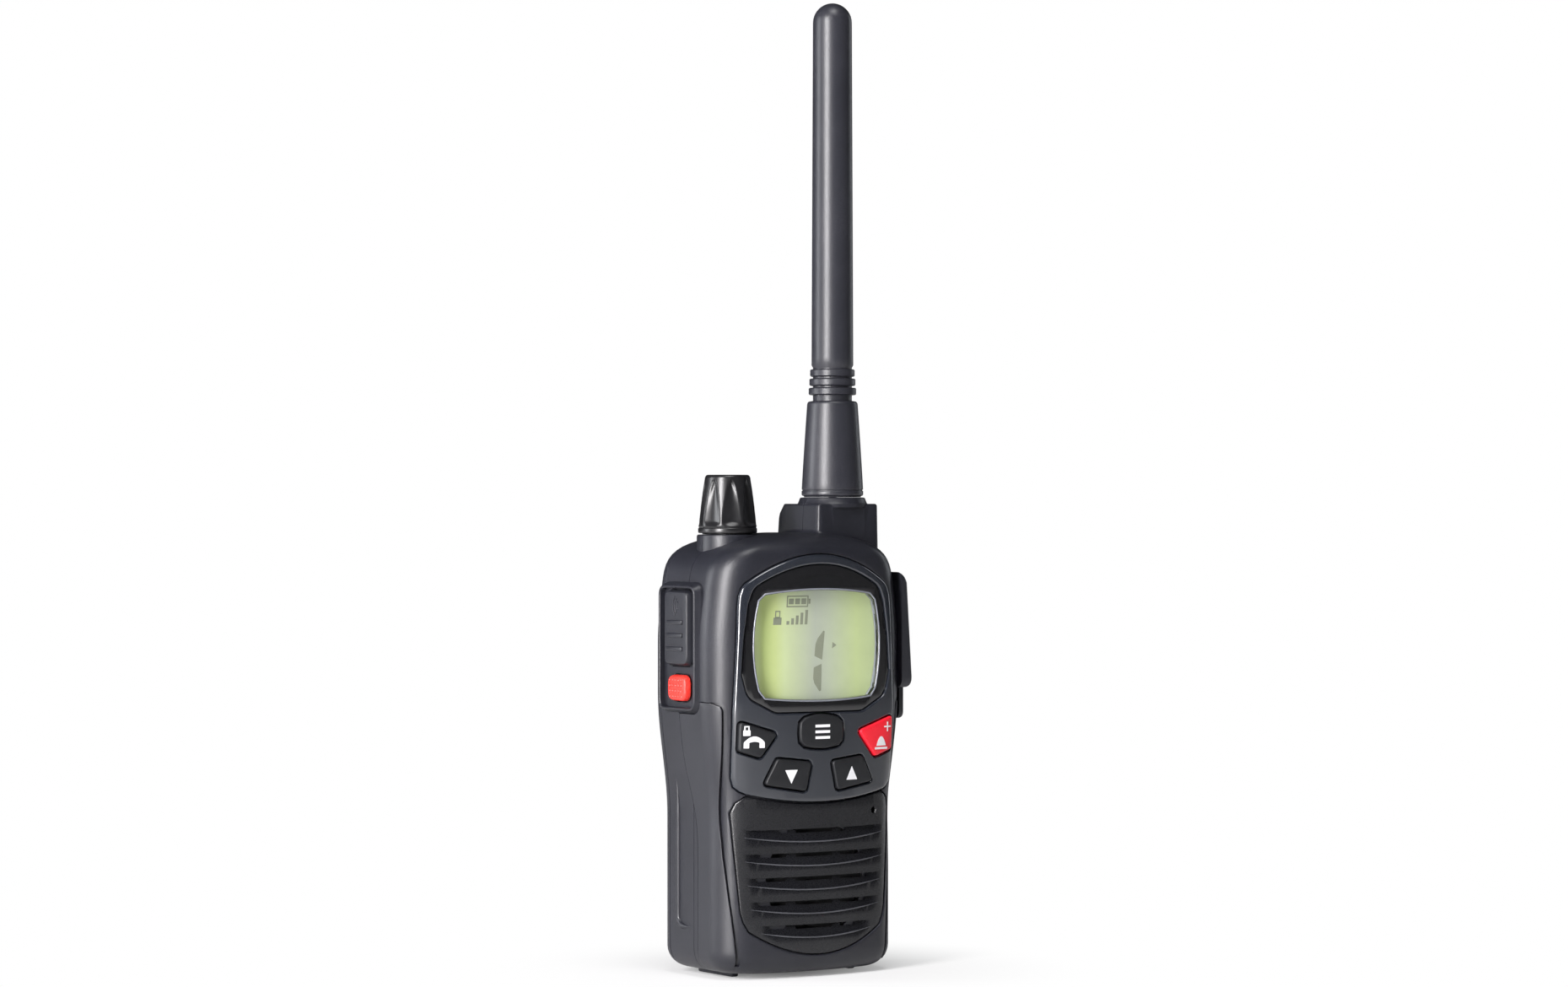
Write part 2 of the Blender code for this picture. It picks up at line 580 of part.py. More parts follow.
boolean(front_housing, "DIFFERENCE", display_window, speaker_window, mic_bore, *key_holes)
for housing in (front_housing, rear_housing):
    boolean(housing, "DIFFERENCE", boss_bore, shaft_bore, pod_seat, stem_holes, jack_seat, *screw_holes)
boolean(front_housing, "DIFFERENCE", *socket_bores)
boolean(rear_housing, "DIFFERENCE", *socket_bores)

# Grips over the lower front corners
GRIP = [(-0.0350, GRIP_TOP_Z), (-0.0350, -0.010), (-0.0245, -0.010), (-0.0256, 0.0140), (-0.0272, 0.0300)]
GRIP += [(-0.0283, 0.0450), (-0.0286, 0.0610), (-0.0289, 0.0735), (-0.0300, GRIP_TOP_Z)]
grip_back = case_form("grip_back", -GRIP_DEPTH)
for side, outline in (("left", GRIP), ("right", mirrored(GRIP))):
    grip_seat = plate("grip_seat_" + side, grown(outline, GAP), "Y", -FAR / 2, FAR / 2)
    boolean(grip_seat, "DIFFERENCE", seat_form)
    boolean(front_housing, "DIFFERENCE", grip_seat)
    grip = plate(side + "_grip", outline, "Y", -FAR / 2, SEAM_Y - GAP / 2, radio, grip_rubber)
    boolean(grip, "INTERSECT", case_form("grip_face_" + side, 0.0))
    boolean(grip, "DIFFERENCE", grip_back, pod_seat)

# Bezel, lens and the front keys
bezel = fitting("keypad_bezel", BEZEL, bezel_face, fitting_back, bezel_smoke)
boolean(bezel, "DIFFERENCE", lens_hole, *key_holes)
fitting("display_lens", LENS, lens_face, fitting_back, lens_black)
for name, (outline, material) in keys.items():
    key = plate(name, outline, "Y", -FAR / 2, -KEY_BACK_Y, radio, material)
    boolean(key, "INTERSECT", key_face)

# Speaker panel with its louvre slots and microphone hole
panel = fitting("speaker_panel", PANEL, panel_face, fitting_back, panel_black)
slots = []
for row in range(LOUVRES):
    z = LOUVRE_TOP_Z - row * LOUVRE_PITCH
    reach = 0.0160 if 0 < row < LOUVRES - 1 else 0.0125
    for x0, x1 in ((-reach, -0.0080), (-0.0062, 0.0062), (0.0080, reach)):
        slots.append(((x0, -FAR / 2, z - SLOT_DROP - SLOT_HEIGHT), (x1, -0.0100, z - SLOT_DROP)))
boolean(panel, "DIFFERENCE", boxes("louvre_slots", slots), mic_bore)

# Behind the front: display, key mat, speaker, microphone
plate("lcd_panel", grown(LCD, 0.0004), "Y", -LCD_DEPTH_Y, -LCD_DEPTH_Y + 0.0018, radio, display_green)
light_corners = [(-0.0190, 0.0770), (0.0190, 0.0770), (0.0190, 0.1070), (-0.0190, 0.1070)]
plate("backlight", rounded(light_corners, 0.001), "Y", -0.0125, -0.0110, radio, inner_plastic)
mat_corners = [(-0.0215, 0.0500), (0.0215, 0.0500), (0.0215, 0.0720), (-0.0215, 0.0720)]
MAT_Y = -KEY_BACK_Y + KEY_TRAVEL + 0.0001
plate("keypad_mat", rounded(mat_corners, 0.002), "Y", MAT_Y, MAT_Y + 0.0010, radio, grip_rubber)
plate("keypad_board", rounded(mat_corners, 0.002), "Y", MAT_Y + 0.0013, MAT_Y + 0.0023, radio, board_green)
SPEAKER_Y = -0.0142
basket = cylinder("speaker_basket", "Y", (0.0, SPEAKER_Z), SPEAKER_R, SPEAKER_Y, SPEAKER_Y + 0.0050, radio,
                  steel, 28)
basket_hollow = cylinder("basket_hollow", "Y", (0.0, SPEAKER_Z), SPEAKER_R - 0.0010, -0.020,
                         SPEAKER_Y + 0.0040,
                         sides=28)
boolean(basket, "DIFFERENCE", basket_hollow)
cylinder("speaker_magnet", "Y", (0.0, SPEAKER_Z), 0.0080, SPEAKER_Y + 0.0053, SPEAKER_Y + 0.0090, radio,
         steel, 20)
cylinder("speaker_cone", "Y", (0.0, SPEAKER_Z), SPEAKER_R - 0.0014, SPEAKER_Y + 0.0008, SPEAKER_Y + 0.0034,
         radio,
         paper_cone, 28, 0.0050)
cylinder("microphone", "Y", (MIC_X, MIC_Z), 0.0020, -0.0132, -0.0112, radio, steel, 12)

# Boards, shield, switches and sockets
box("main_board", (-BOARD_HALF_X, BOARD_Y, 0.0065), (BOARD_HALF_X, BOARD_Y + BOARD_T, BOARD_TOP_Z), radio,
    board_green)
box("rf_shield", (-0.0105, BOARD_Y + BOARD_T + GAP, 0.0760), (0.0185, 0.0002, 0.1000), radio, steel)
box("ptt_switch", (-0.0276, PTT_Y - 0.0030, PTT_Z - 0.0030), (-0.0250, PTT_Y + 0.0030, PTT_Z + 0.0030),
    radio, steel)
box("side_key_switch", (-0.0276, PTT_Y - 0.0025, SIDE_KEY_Z - 0.0025),
    (-0.0250, PTT_Y + 0.0025, SIDE_KEY_Z + 0.0025), radio, steel)
for name, z, radius in SOCKETS:
    body = cylinder(name, "X", (-0.0030, z), radius + 0.0012, BOARD_HALF_X + GAP, 0.0272, radio, steel, 14)
    boolean(body, "DIFFERENCE", cylinder(name + "_hole", "X", (-0.0030, z), radius - 0.0004, 0.0235, FAR,
                                         sides=12))

# Side key frame, press-to-talk button and red side button
frame = plate("side_key_frame", pod_outline, "X", -POD_PROUD_X, -(POD_FLOOR_X + GAP), radio, case_plastic)
boolean(frame, "DIFFERENCE",
        plate("ptt_hole", grown(ptt_outline, KEY_CLEAR), "X", -FAR, -0.020),
        plate("side_key_hole", grown(side_key_outline, KEY_CLEAR), "X", -FAR, -0.020))
CAP_BACK_X = POD_FLOOR_X + PTT_TRAVEL + 0.0002
ptt = plate("ptt_button", ptt_outline, "X", -PTT_PROUD_X, -CAP_BACK_X, radio, key_rubber)
boolean(ptt, "UNION", box("ptt_stem", (-CAP_BACK_X - 0.0008, PTT_Y - 0.0020, PTT_Z - 0.0026),
                          (-0.0290, PTT_Y + 0.0020, PTT_Z + 0.0026)))
side_key = plate("side_button", side_key_outline, "X", -PTT_PROUD_X, -CAP_BACK_X, radio, button_red)
boolean(side_key, "UNION", box("side_key_stem", (-CAP_BACK_X - 0.0008, PTT_Y - 0.0014, SIDE_KEY_Z - 0.0014),
                               (-0.0288, PTT_Y + 0.0014, SIDE_KEY_Z + 0.0014)))

# Rubber jack cover with its pull tab; it hinges on its top edge
cover = plate("jack_cover", jack_outline, "X", 0.018, JACK_FACE_X, radio, grip_rubber)
boolean(cover, "INTERSECT", plate("jack_profile", jack_profile, "Y", -FAR / 2, FAR / 2))
boolean(cover, "DIFFERENCE", case_form("jack_cover_back", -JACK_SINK))
tab_outline = rounded([(-0.0100, 0.0700), (0.0000, 0.0700), (0.0000, 0.0810), (-0.0100, 0.0810)], 0.002)
boolean(cover, "UNION", plate("jack_tab", tab_outline, "X", BULGE_HALF + GAP, JACK_FACE_X - 0.0004))

# Volume control: knob, shaft, potentiometer
knob_profile = [(0.0, KNOB_TOP_Z), (KNOB_TOP_R - 0.0008, KNOB_TOP_Z), (KNOB_TOP_R, KNOB_TOP_Z - 0.0008)]
knob_profile += [(KNOB_TOP_R + 0.0013, KNOB_TOP_Z - 0.0065), (KNOB_BOTTOM_R - 0.0004, KNOB_BASE_Z + 0.0049)]
knob_profile += [(KNOB_BOTTOM_R, KNOB_BASE_Z + 0.0016)]
knob_profile += [(KNOB_BOTTOM_R, KNOB_BASE_Z + 0.0004), (KNOB_BOTTOM_R - 0.0004, KNOB_BASE_Z)]
knob_profile += [(SHAFT_R + GAP, KNOB_BASE_Z), (SHAFT_R + GAP, KNOB_TOP_Z - 0.0040),
                 (0.0, KNOB_TOP_Z - 0.0040)]
knob = turned("volume_knob", knob_profile, (KNOB_X, TOP_AXIS_Y), radio, knob_black, 32)
FLUTES = 8
flute_bm = bmesh.new()
for i in range(FLUTES):
    turn = math.tau * (i + 0.5) / FLUTES
    place = Matrix.Translation((KNOB_X, TOP_AXIS_Y, KNOB_BASE_Z + 0.0104)) @ Matrix.Rotation(turn, 4, "Z")
    place = place @ Matrix.Translation((KNOB_TOP_R + 0.0018, 0.0, 0.0))
    bmesh.ops.create_cone(flute_bm, cap_ends=True, segments=8, radius1=0.0012, radius2=0.0020, depth=0.0140,
                          matrix=place)
boolean(knob, "DIFFERENCE", add_object("knob_flutes", flute_bm, cutters))
shaft = cylinder("volume_shaft", "Z", (KNOB_X, TOP_AXIS_Y), SHAFT_R, SHAFT_LOW_Z, KNOB_TOP_Z - 0.0045,
                 radio, steel, 16)
box("volume_control", (KNOB_X - 0.0055, TOP_AXIS_Y - 0.0045, SHAFT_LOW_Z - 0.0105),
    (KNOB_X + 0.0055, TOP_AXIS_Y + 0.0050, SHAFT_LOW_Z - GAP),
    radio, inner_plastic)

# Antenna: rubber sheath with boot and three rings, the element inside it, and its threaded bush
antenna_profile = [(0.0, ANTENNA_TOP_Z)]
for degrees in (60, 30, 0):
    angle = math.radians(degrees)
    antenna_profile.append((ROD_TOP_R * math.cos(angle), ANTENNA_TOP_Z - ROD_TOP_R * (1 - math.sin(angle))))
RINGS_TOP_Z = BOOT_TOP_Z + 0.0092
antenna_profile += [(ROD_TOP_R + 0.0001, RINGS_TOP_Z + 0.0250), (ROD_BASE_R, RINGS_TOP_Z + 0.0010)]
for i in range(3):
    z = RINGS_TOP_Z - i * RING_PITCH
    ring_r = RING_R + RING_GROWTH * i
    antenna_profile += [(ROD_BASE_R - 0.0004, z), (ring_r - 0.0001, z - 0.0004)]
    antenna_profile += [(ring_r, z - 0.0018), (ROD_BASE_R - 0.0004, z - 0.0022)]
antenna_profile += [(ROD_BASE_R - 0.0004, BOOT_TOP_Z + 0.0004), (BOOT_TOP_R - 0.0003, BOOT_TOP_Z)]
antenna_profile += [(BOOT_TOP_R, BOOT_TOP_Z - 0.0006), (BOOT_MIDDLE_R, (BOOT_TOP_Z + ANTENNA_BASE_Z) / 2)]
antenna_profile += [(BOOT_BASE_R, ANTENNA_BASE_Z + 0.0014)]
antenna_profile += [(BOOT_BASE_R - 0.0003, ANTENNA_BASE_Z), (ELEMENT_BORE_R, ANTENNA_BASE_Z)]
antenna_profile += [(ELEMENT_BORE_R, ANTENNA_TOP_Z - 0.0120), (0.0, ANTENNA_TOP_Z - 0.0120)]
turned("antenna_sheath", antenna_profile, (ANTENNA_X, TOP_AXIS_Y), radio, antenna_rubber, 20)
cylinder("antenna_element", "Z", (ANTENNA_X, TOP_AXIS_Y), ELEMENT_R, BODY_TOP - 0.0158,
         ANTENNA_TOP_Z - 0.0140, radio, steel, 10)
bush = cylinder("antenna_bush", "Z", (ANTENNA_X, TOP_AXIS_Y), BOSS_BORE_R - GAP, BODY_TOP - 0.0088,
                BOSS_CONE_Z - 0.0002,
                radio, brass, 20)
boolean(bush, "DIFFERENCE", cylinder("bush_bore", "Z", (ANTENNA_X, TOP_AXIS_Y), ELEMENT_BORE_R,
                                     BOSS_ROOT_Z - 0.0050,
                                         BOSS_CONE_Z + 0.0075, sides=12))

# Battery door, its window and seat, the tray and cells
door_corners = [(-DOOR_HALF_X, DOOR_BOTTOM_Z), (DOOR_HALF_X, DOOR_BOTTOM_Z), (DOOR_HALF_X, DOOR_TOP_Z),
                (-DOOR_HALF_X, DOOR_TOP_Z)]
door_outline = rounded(door_corners, 0.0025)
door = plate("battery_door", door_outline, "Y", BACK_Y - DOOR_T, BACK_Y - 0.0001, radio, case_plastic)
door_seat = plate("door_seat", grown(door_outline, GAP), "Y", BACK_Y - DOOR_T - GAP, FAR)
door_window = plate("door_window", grown(door_outline, -0.0012), "Y", 0.0120, FAR)
boolean(rear_housing, "DIFFERENCE", door_seat, door_window)
TRAY_HALF_X = CELL_LENGTH / 2 + CONTACT_T + TRAY_WALL + 0.0003
TRAY_LOW_Z = CELL_FIRST_Z - CELL_R - TRAY_WALL - 0.0003
TRAY_HIGH_Z = CELL_FIRST_Z + (CELLS - 1) * CELL_PITCH + CELL_R + TRAY_WALL + 0.0003
TRAY_FRONT_Y = CELL_Y - CELL_R - TRAY_WALL - 0.0002
TRAY_BACK_Y = BACK_Y - WALL - 0.0008
tray = box("battery_tray", (-TRAY_HALF_X, TRAY_FRONT_Y, TRAY_LOW_Z), (TRAY_HALF_X, TRAY_BACK_Y, TRAY_HIGH_Z),
           radio, inner_plastic)
boolean(tray, "DIFFERENCE", box("tray_hollow", (-TRAY_HALF_X + TRAY_WALL, TRAY_FRONT_Y + TRAY_WALL,
                                                TRAY_LOW_Z + TRAY_WALL),
                                (TRAY_HALF_X - TRAY_WALL, FAR, TRAY_HIGH_Z - TRAY_WALL)))
for i in range(CELLS):
    z = CELL_FIRST_Z + i * CELL_PITCH
    cylinder(f"battery_cell_{i + 1}", "X", (CELL_Y, z), CELL_R, -CELL_LENGTH / 2, CELL_LENGTH / 2, radio,
             cell_wrap, 16)
for side, sign in (("left", -1), ("right", 1)):
    face = CELL_LENGTH / 2 + 0.0001
    x0, x1 = sorted((sign * face, sign * (face + CONTACT_T)))
    for row in range(2):
        z0 = CELL_FIRST_Z + 2 * row * CELL_PITCH
        box(f"{side}_contact_{row + 1}", (x0, CELL_Y - 0.0045, z0 - 0.0045),
            (x1, CELL_Y + 0.0045, z0 + CELL_PITCH + 0.0045), radio, steel)

# Belt clip: bracket with two ears, pin, spring and the sprung clip
bracket = box("clip_bracket", (-0.0125, BACK_Y + GAP, 0.0940), (0.0125, BACK_Y + BRACKET_T, 0.1080), radio,
              case_plastic)
EAR_INNER_X = CLIP_HALF_X + GAP
for side, sign in (("left", -1), ("right", 1)):
    x0, x1 = sorted((sign * EAR_INNER_X, sign * (EAR_INNER_X + EAR_T)))
    ear = box(side + "_ear", (x0, BACK_Y + BRACKET_T / 2, CLIP_PIN_Z - 0.0030),
              (x1, CLIP_PIN_Y + 0.0022, CLIP_PIN_Z + 0.0030))
    boolean(bracket, "UNION", ear)
pin_bore = cylinder("pin_bore", "X", (CLIP_PIN_Y, CLIP_PIN_Z), CLIP_PIN_R + GAP, -FAR, FAR, sides=12)
boolean(bracket, "DIFFERENCE", pin_bore)
PIN_HALF = EAR_INNER_X + EAR_T - 0.0001
cylinder("clip_pin", "X", (CLIP_PIN_Y, CLIP_PIN_Z), CLIP_PIN_R, -PIN_HALF, PIN_HALF, radio, steel, 12)
clip_outline = [(CLIP_FACE_Y, CLIP_TOP_Z), (CLIP_FACE_Y, 0.0800), (CLIP_FACE_Y - 0.0026, 0.0755)]
clip_outline += [(CLIP_FACE_Y - 0.0032, CLIP_BOTTOM_Z + 0.0012), (CLIP_FACE_Y - 0.0022, CLIP_BOTTOM_Z)]
clip_outline += [(CLIP_FACE_Y, CLIP_BOTTOM_Z + 0.0006), (CLIP_FACE_Y + CLIP_T - 0.0006, 0.0775)]
clip_outline += [(CLIP_FACE_Y + CLIP_T, 0.0820), (CLIP_FACE_Y + CLIP_T, CLIP_TOP_Z)]
clip = plate("belt_clip", clip_outline, "X", -CLIP_HALF_X, CLIP_HALF_X, radio, case_plastic)
boolean(clip, "UNION", box("clip_lug", (-CLIP_HALF_X + 0.0001, CLIP_PIN_Y - 0.0020, CLIP_PIN_Z - 0.0021),
                           (CLIP_HALF_X - 0.0001, CLIP_FACE_Y + 0.0006, CLIP_PIN_Z + 0.0021)))
boolean(clip, "DIFFERENCE", box("spring_slot", (-0.0034, CLIP_PIN_Y - 0.0040, CLIP_PIN_Z - 0.0040),
                                (0.0034, CLIP_FACE_Y + 0.0012, CLIP_PIN_Z + 0.0040)), pin_bore)

coil = bpy.data.curves.new("clip_spring", "CURVE")
coil.dimensions = "3D"
coil.bevel_depth = 0.0003
coil.bevel_resolution = 2
coil.use_fill_caps = True
TURNS, TURN_POINTS, COIL_R, COIL_HALF = 4, 10, 0.0016, 0.0026
wire = coil.splines.new("POLY")
wire.points.add(TURNS * TURN_POINTS)
for i, point in enumerate(wire.points):
    angle = math.tau * i / TURN_POINTS
    x = -COIL_HALF + 2 * COIL_HALF * i / (TURNS * TURN_POINTS)
    point.co = (x, CLIP_PIN_Y + COIL_R * math.cos(angle), CLIP_PIN_Z + COIL_R * math.sin(angle), 1.0)
spring = bpy.data.objects.new("clip_spring", coil)
coil.materials.append(steel)
radio.objects.link(spring)

# Case screws and feet
for i, (x, z) in enumerate(SCREWS):
    screw = cylinder(f"case_screw_{i + 1}", "Y", (x, z), SCREW_R, -0.0030, BACK_Y - 0.0008, radio, steel, 10)
    head = cylinder(f"screw_head_{i + 1}", "Y", (x, z), SCREW_HEAD_R, BACK_Y - 0.0011, BACK_Y - 0.0003,
                    sides=14)
    boolean(screw, "UNION", head)
for side, sign in (("left", -1), ("right", 1)):
    x0, x1 = sorted((sign * FOOT_INNER_X, sign * FOOT_OUTER_X))
    foot_outline = rounded([(x0, FOOT_FRONT_Y), (x1, FOOT_FRONT_Y), (x1, FOOT_BACK_Y), (x0, FOOT_BACK_Y)],
                           0.0006)
    foot = plate(side + "_foot", foot_outline, "Z", 0.0, FOOT_TOP_Z, radio, grip_rubber)
    foot_seat = plate(side + "_foot_seat", grown(foot_outline, GAP), "Z", -0.010, FOOT_TOP_Z + GAP)
    boolean(front_housing, "DIFFERENCE", foot_seat)
    boolean(rear_housing, "DIFFERENCE", foot_seat)
    for grip_side in ("left_grip", "right_grip"):
        if grip_side.startswith(side):
            boolean(bpy.data.objects[grip_side], "DIFFERENCE", foot_seat)

# Moving pieces turn or slide about their own origins
set_origin(clip, (0.0, CLIP_PIN_Y, CLIP_PIN_Z))
set_origin(cover, (JACK_HINGE_X, 0.0, JACK_TOP_Z))
set_origin(door, (0.0, BACK_Y, DOOR_BOTTOM_Z))

# Everything is carried by one empty, which shifts the model so that its depth is centred on the origin
root = bpy.data.objects.new("radio_origin", None)
radio.objects.link(root)
root.location = (0.0, BODY_SHIFT, 0.0)
for obj in list(radio.objects) + list(cutters.objects):
    if obj is not root:
        obj.parent = root
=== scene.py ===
import bpy
import math
from mathutils import Matrix, Vector


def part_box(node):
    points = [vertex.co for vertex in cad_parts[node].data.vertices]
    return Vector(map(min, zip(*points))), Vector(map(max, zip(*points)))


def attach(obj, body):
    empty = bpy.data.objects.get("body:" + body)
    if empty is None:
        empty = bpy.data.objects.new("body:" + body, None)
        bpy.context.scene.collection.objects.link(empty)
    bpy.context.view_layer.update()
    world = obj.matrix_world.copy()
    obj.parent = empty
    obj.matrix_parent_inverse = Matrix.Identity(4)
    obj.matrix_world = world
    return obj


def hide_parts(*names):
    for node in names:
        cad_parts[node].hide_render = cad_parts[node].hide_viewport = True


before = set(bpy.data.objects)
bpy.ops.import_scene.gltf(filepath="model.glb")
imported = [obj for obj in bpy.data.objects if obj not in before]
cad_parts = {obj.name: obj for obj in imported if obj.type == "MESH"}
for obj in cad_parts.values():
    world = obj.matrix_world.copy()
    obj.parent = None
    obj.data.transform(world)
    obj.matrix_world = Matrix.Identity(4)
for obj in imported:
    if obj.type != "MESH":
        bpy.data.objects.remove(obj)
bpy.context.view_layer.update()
bpy.ops.object.select_all(action="DESELECT")
print("frame loaded")

mm = 0.001
body = {
    "half": 28.7 * mm, "bulge": 31.8 * mm, "fall": 0.80, "waistZ": 44 * mm, "bulgeLowZ": 78 * mm,
    "bulgeHighZ": 92 * mm, "front": 18.5 * mm, "back": 18.5 * mm, "crown": 2.0 * mm, "frontRound": 10 * mm,
    "rearRound": 4 * mm, "low": 1.5 * mm, "top": 122.8 * mm, "shoulder": 106 * mm, "sidePower": 4,
    "facePower": 8,
    "footX": 6 * mm, "footY": 3.5 * mm, "wall": 2.2 * mm, "seam": 1.5 * mm,
}
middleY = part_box("front_housing")[0][1] + body["front"]      # the case is laid out about its own middle


# places on the case's skin
def ease(value, low, high):
    t = min(1.0, max(0.0, (value - low) / (high - low)))
    return t * t * (3 - 2 * t)


def between(points, value):      # straight steps through (key, value) points
    points = sorted(points)
    if value <= points[0][0]:
        return points[0][1]
    for (a, p), (b, q) in zip(points, points[1:]):
        if value <= b:
            return p + (q - p) * (value - a) / (b - a)
    return points[-1][1]


def caseHalf(z):
    rise = ease(z, body["waistZ"], body["bulgeLowZ"])
    fall = ease(z, body["bulgeHighZ"], body["top"])
    return body["half"] + (body["bulge"] - body["half"]) * rise * (1 - body["fall"] * fall)


def sectionSizes(z, grow=0.0):
    wide, front, back = caseHalf(z) + grow, body["front"] + grow, body["back"] + grow
    if z > body["shoulder"]:
        rise = min(0.9999, (z - body["shoulder"]) / (body["top"] + grow - body["shoulder"]))
        wide *= math.sqrt(1 - rise ** body["sidePower"])
        front *= math.sqrt(1 - rise ** body["facePower"])
        back *= math.sqrt(1 - rise ** body["facePower"])
    low = body["low"] - grow
    if z < low + body["footX"]:
        drop = min(1.0, (low + body["footX"] - z) / body["footX"])
        pull = 1 - math.sqrt(max(0.0, 1 - drop * drop))
        wide -= body["footX"] * pull
        front -= body["footY"] * pull
        back -= body["footY"] * pull
    shrink = min(wide / caseHalf(z), front / body["front"], 1.0)
    corner = (body["frontRound"] + min(grow, 0.0)) * shrink
    rear = (body["rearRound"] + min(grow, 0.0)) * shrink
    bend = body["crown"] * shrink / (wide - corner) ** 2
    tilt = 0.1
    for _ in range(4):      # the crown runs on into the corner without a kink
        meet = wide - corner + corner * math.sin(tilt)
        tilt = math.atan(2 * bend * meet)
    centreY = -front + bend * meet * meet + corner * math.cos(tilt)
    return wide, front, back, corner, rear, bend, tilt, meet, centreY


def frontY(x, z):
    wide, front, back, corner, rear, bend, tilt, meet, centreY = sectionSizes(z)
    x = abs(x)
    if x <= meet:
        return -front + bend * x * x
    reach = min(corner, x - (wide - corner))
    return centreY - math.sqrt(max(0.0, corner * corner - reach * reach))


halfSteps = (22, 14, 12, 8, 12)
sides = 2 * sum(halfSteps)


def halfSection(z, grow=0.0):
    wide, front, back, corner, rear, bend, tilt, meet, centreY = sectionSizes(z, grow)
    crownSteps, cornerSteps, sideSteps, rearSteps, backSteps = halfSteps
    points = [(meet * i / crownSteps, -front + bend * (meet * i / crownSteps) ** 2)
              for i in range(crownSteps + 1)]
    for i in range(1, cornerSteps + 1):
        turn = tilt + (math.pi / 2 - tilt) * i / cornerSteps
        points.append((wide - corner + corner * math.sin(turn), centreY - corner * math.cos(turn)))
    for i in range(1, sideSteps + 1):
        points.append((wide, centreY + (back - rear - centreY) * i / sideSteps))
    for i in range(1, rearSteps + 1):
        turn = math.pi / 2 * i / rearSteps
        points.append((wide - rear + rear * math.cos(turn), back - rear + rear * math.sin(turn)))
    for i in range(1, backSteps + 1):
        points.append(((wide - rear) * (1 - i / backSteps), back))
    return points


def alongSection(z, start, end, t, grow=0.0):      # start is an x on the front, end is a y on the side
    points = halfSection(z, grow)
    length, marks = 0.0, [0.0]
    for a, b in zip(points, points[1:]):
        length += math.dist(a, b)
        marks.append(length)
    first = between([(p[0], s) for p, s in list(zip(points, marks))[:sum(halfSteps[:2])]], start)
    last = between([(p[1], s) for p, s in list(zip(points, marks))[halfSteps[0]:sum(halfSteps[:3])]], end)
    place = first + (last - first) * t
    return (between([(s, p[0]) for p, s in zip(points, marks)], place),
            between([(s, p[1]) for p, s in zip(points, marks)], place))


def skinTop(x, y, grow=0.0):      # height of the domed top over a point
    low, high = 0.100, body["top"] + grow - 0.00001
    for _ in range(24):
        z = (low + high) / 2
        wide, front, back, corner, rear, bend, tilt, meet, centreY = sectionSizes(z, grow)
        inside = abs(x) < wide and y < back
        if inside:
            inside = y > (-front + bend * x * x if abs(x) <= meet else centreY - math.sqrt(
                max(0.0, corner ** 2 - (abs(x) - wide + corner) ** 2)))
        low, high = (z, high) if inside else (low, z)
    return low


# modelling helpers
def activate(obj):
    bpy.ops.object.select_all(action="DESELECT")
    obj.select_set(True)
    bpy.context.view_layer.objects.active = obj


def editing(obj):
    activate(obj)
    bpy.ops.object.mode_set(mode="EDIT")
    bpy.ops.mesh.select_all(action="SELECT")


def leaveEdit():
    bpy.ops.object.mode_set(mode="OBJECT")


def faceOut(obj):
    editing(obj)
    bpy.ops.mesh.normals_make_consistent(inside=False)
    leaveEdit()


def tubeForm(name, count, levels, place):
    bpy.ops.mesh.primitive_cylinder_add(vertices=count, radius=1.0, depth=levels, end_fill_type="NGON")
    obj = bpy.context.object
    obj.name = name
    editing(obj)
    for level in range(1, levels):
        bpy.ops.mesh.select_all(action="SELECT")
        bpy.ops.mesh.bisect(plane_co=(0, 0, level - levels / 2), plane_no=(0, 0, 1))
    leaveEdit()
    for vert in obj.data.vertices:
        turn = math.atan2(vert.co.x, -vert.co.y) % math.tau
        vert.co = place(round(turn / math.tau * count) % count, round(vert.co.z + levels / 2))
    faceOut(obj)
    return obj


def spun(name, profile, centre, count=48):      # profile is (radius, z) from the bottom up
    def place(i, k):
        radius, z = profile[k]
        turn = math.tau * i / count
        return (centre[0] + radius * math.sin(turn), centre[1] - radius * math.cos(turn), z)
    return tubeForm(name, count, len(profile) - 1, place)


def flatFace(name, outline, y, toward=-1):      # a filled outline of (x, z), facing the viewer or away
    outline = list(outline)
    area = sum(a[0] * b[1] - b[0] * a[1] for a, b in zip(outline, outline[1:] + outline[:1]))
    if area < 0:
        outline.reverse()
    bpy.ops.mesh.primitive_circle_add(vertices=len(outline), radius=0.01, fill_type="NGON")
    obj = bpy.context.object
    obj.name = name
    for vert, (x, z) in zip(obj.data.vertices, outline):
        vert.co = (x, y, z)
    obj.data.update()
    if obj.data.polygons[0].normal.y * toward < 0:
        editing(obj)
        bpy.ops.mesh.flip_normals()
        leaveEdit()
    return obj


def buildUp(obj, steps, toward=-1):      # each step is (inset, lift) of the face that lies on top
    editing(obj)
    for inset, lift in steps:
        if inset == 0:
            bpy.ops.mesh.extrude_region_move(TRANSFORM_OT_translate={"value": (0, toward * lift, 0)})
        else:
            bpy.ops.mesh.inset(thickness=inset, depth=lift, use_even_offset=True)
    bpy.ops.mesh.select_all(action="SELECT")
    bpy.ops.mesh.normals_make_consistent(inside=False)
    leaveEdit()
    return obj


def roundSteps(radius, count=3):      # a rounded rim
    turns = [math.pi / 2 * i / count for i in range(count + 1)]
    return [(radius * (math.cos(a) - math.cos(b)), radius * (math.sin(b) - math.sin(a)))
            for a, b in zip(turns, turns[1:])]


def lipSteps(radius, count=3):      # a cutter that leaves a rounded rim
    turns = [math.pi / 2 * i / count for i in range(count + 1)]
    return [(radius * (math.sin(b) - math.sin(a)), radius * (math.cos(a) - math.cos(b)))
            for a, b in zip(turns, turns[1:])]


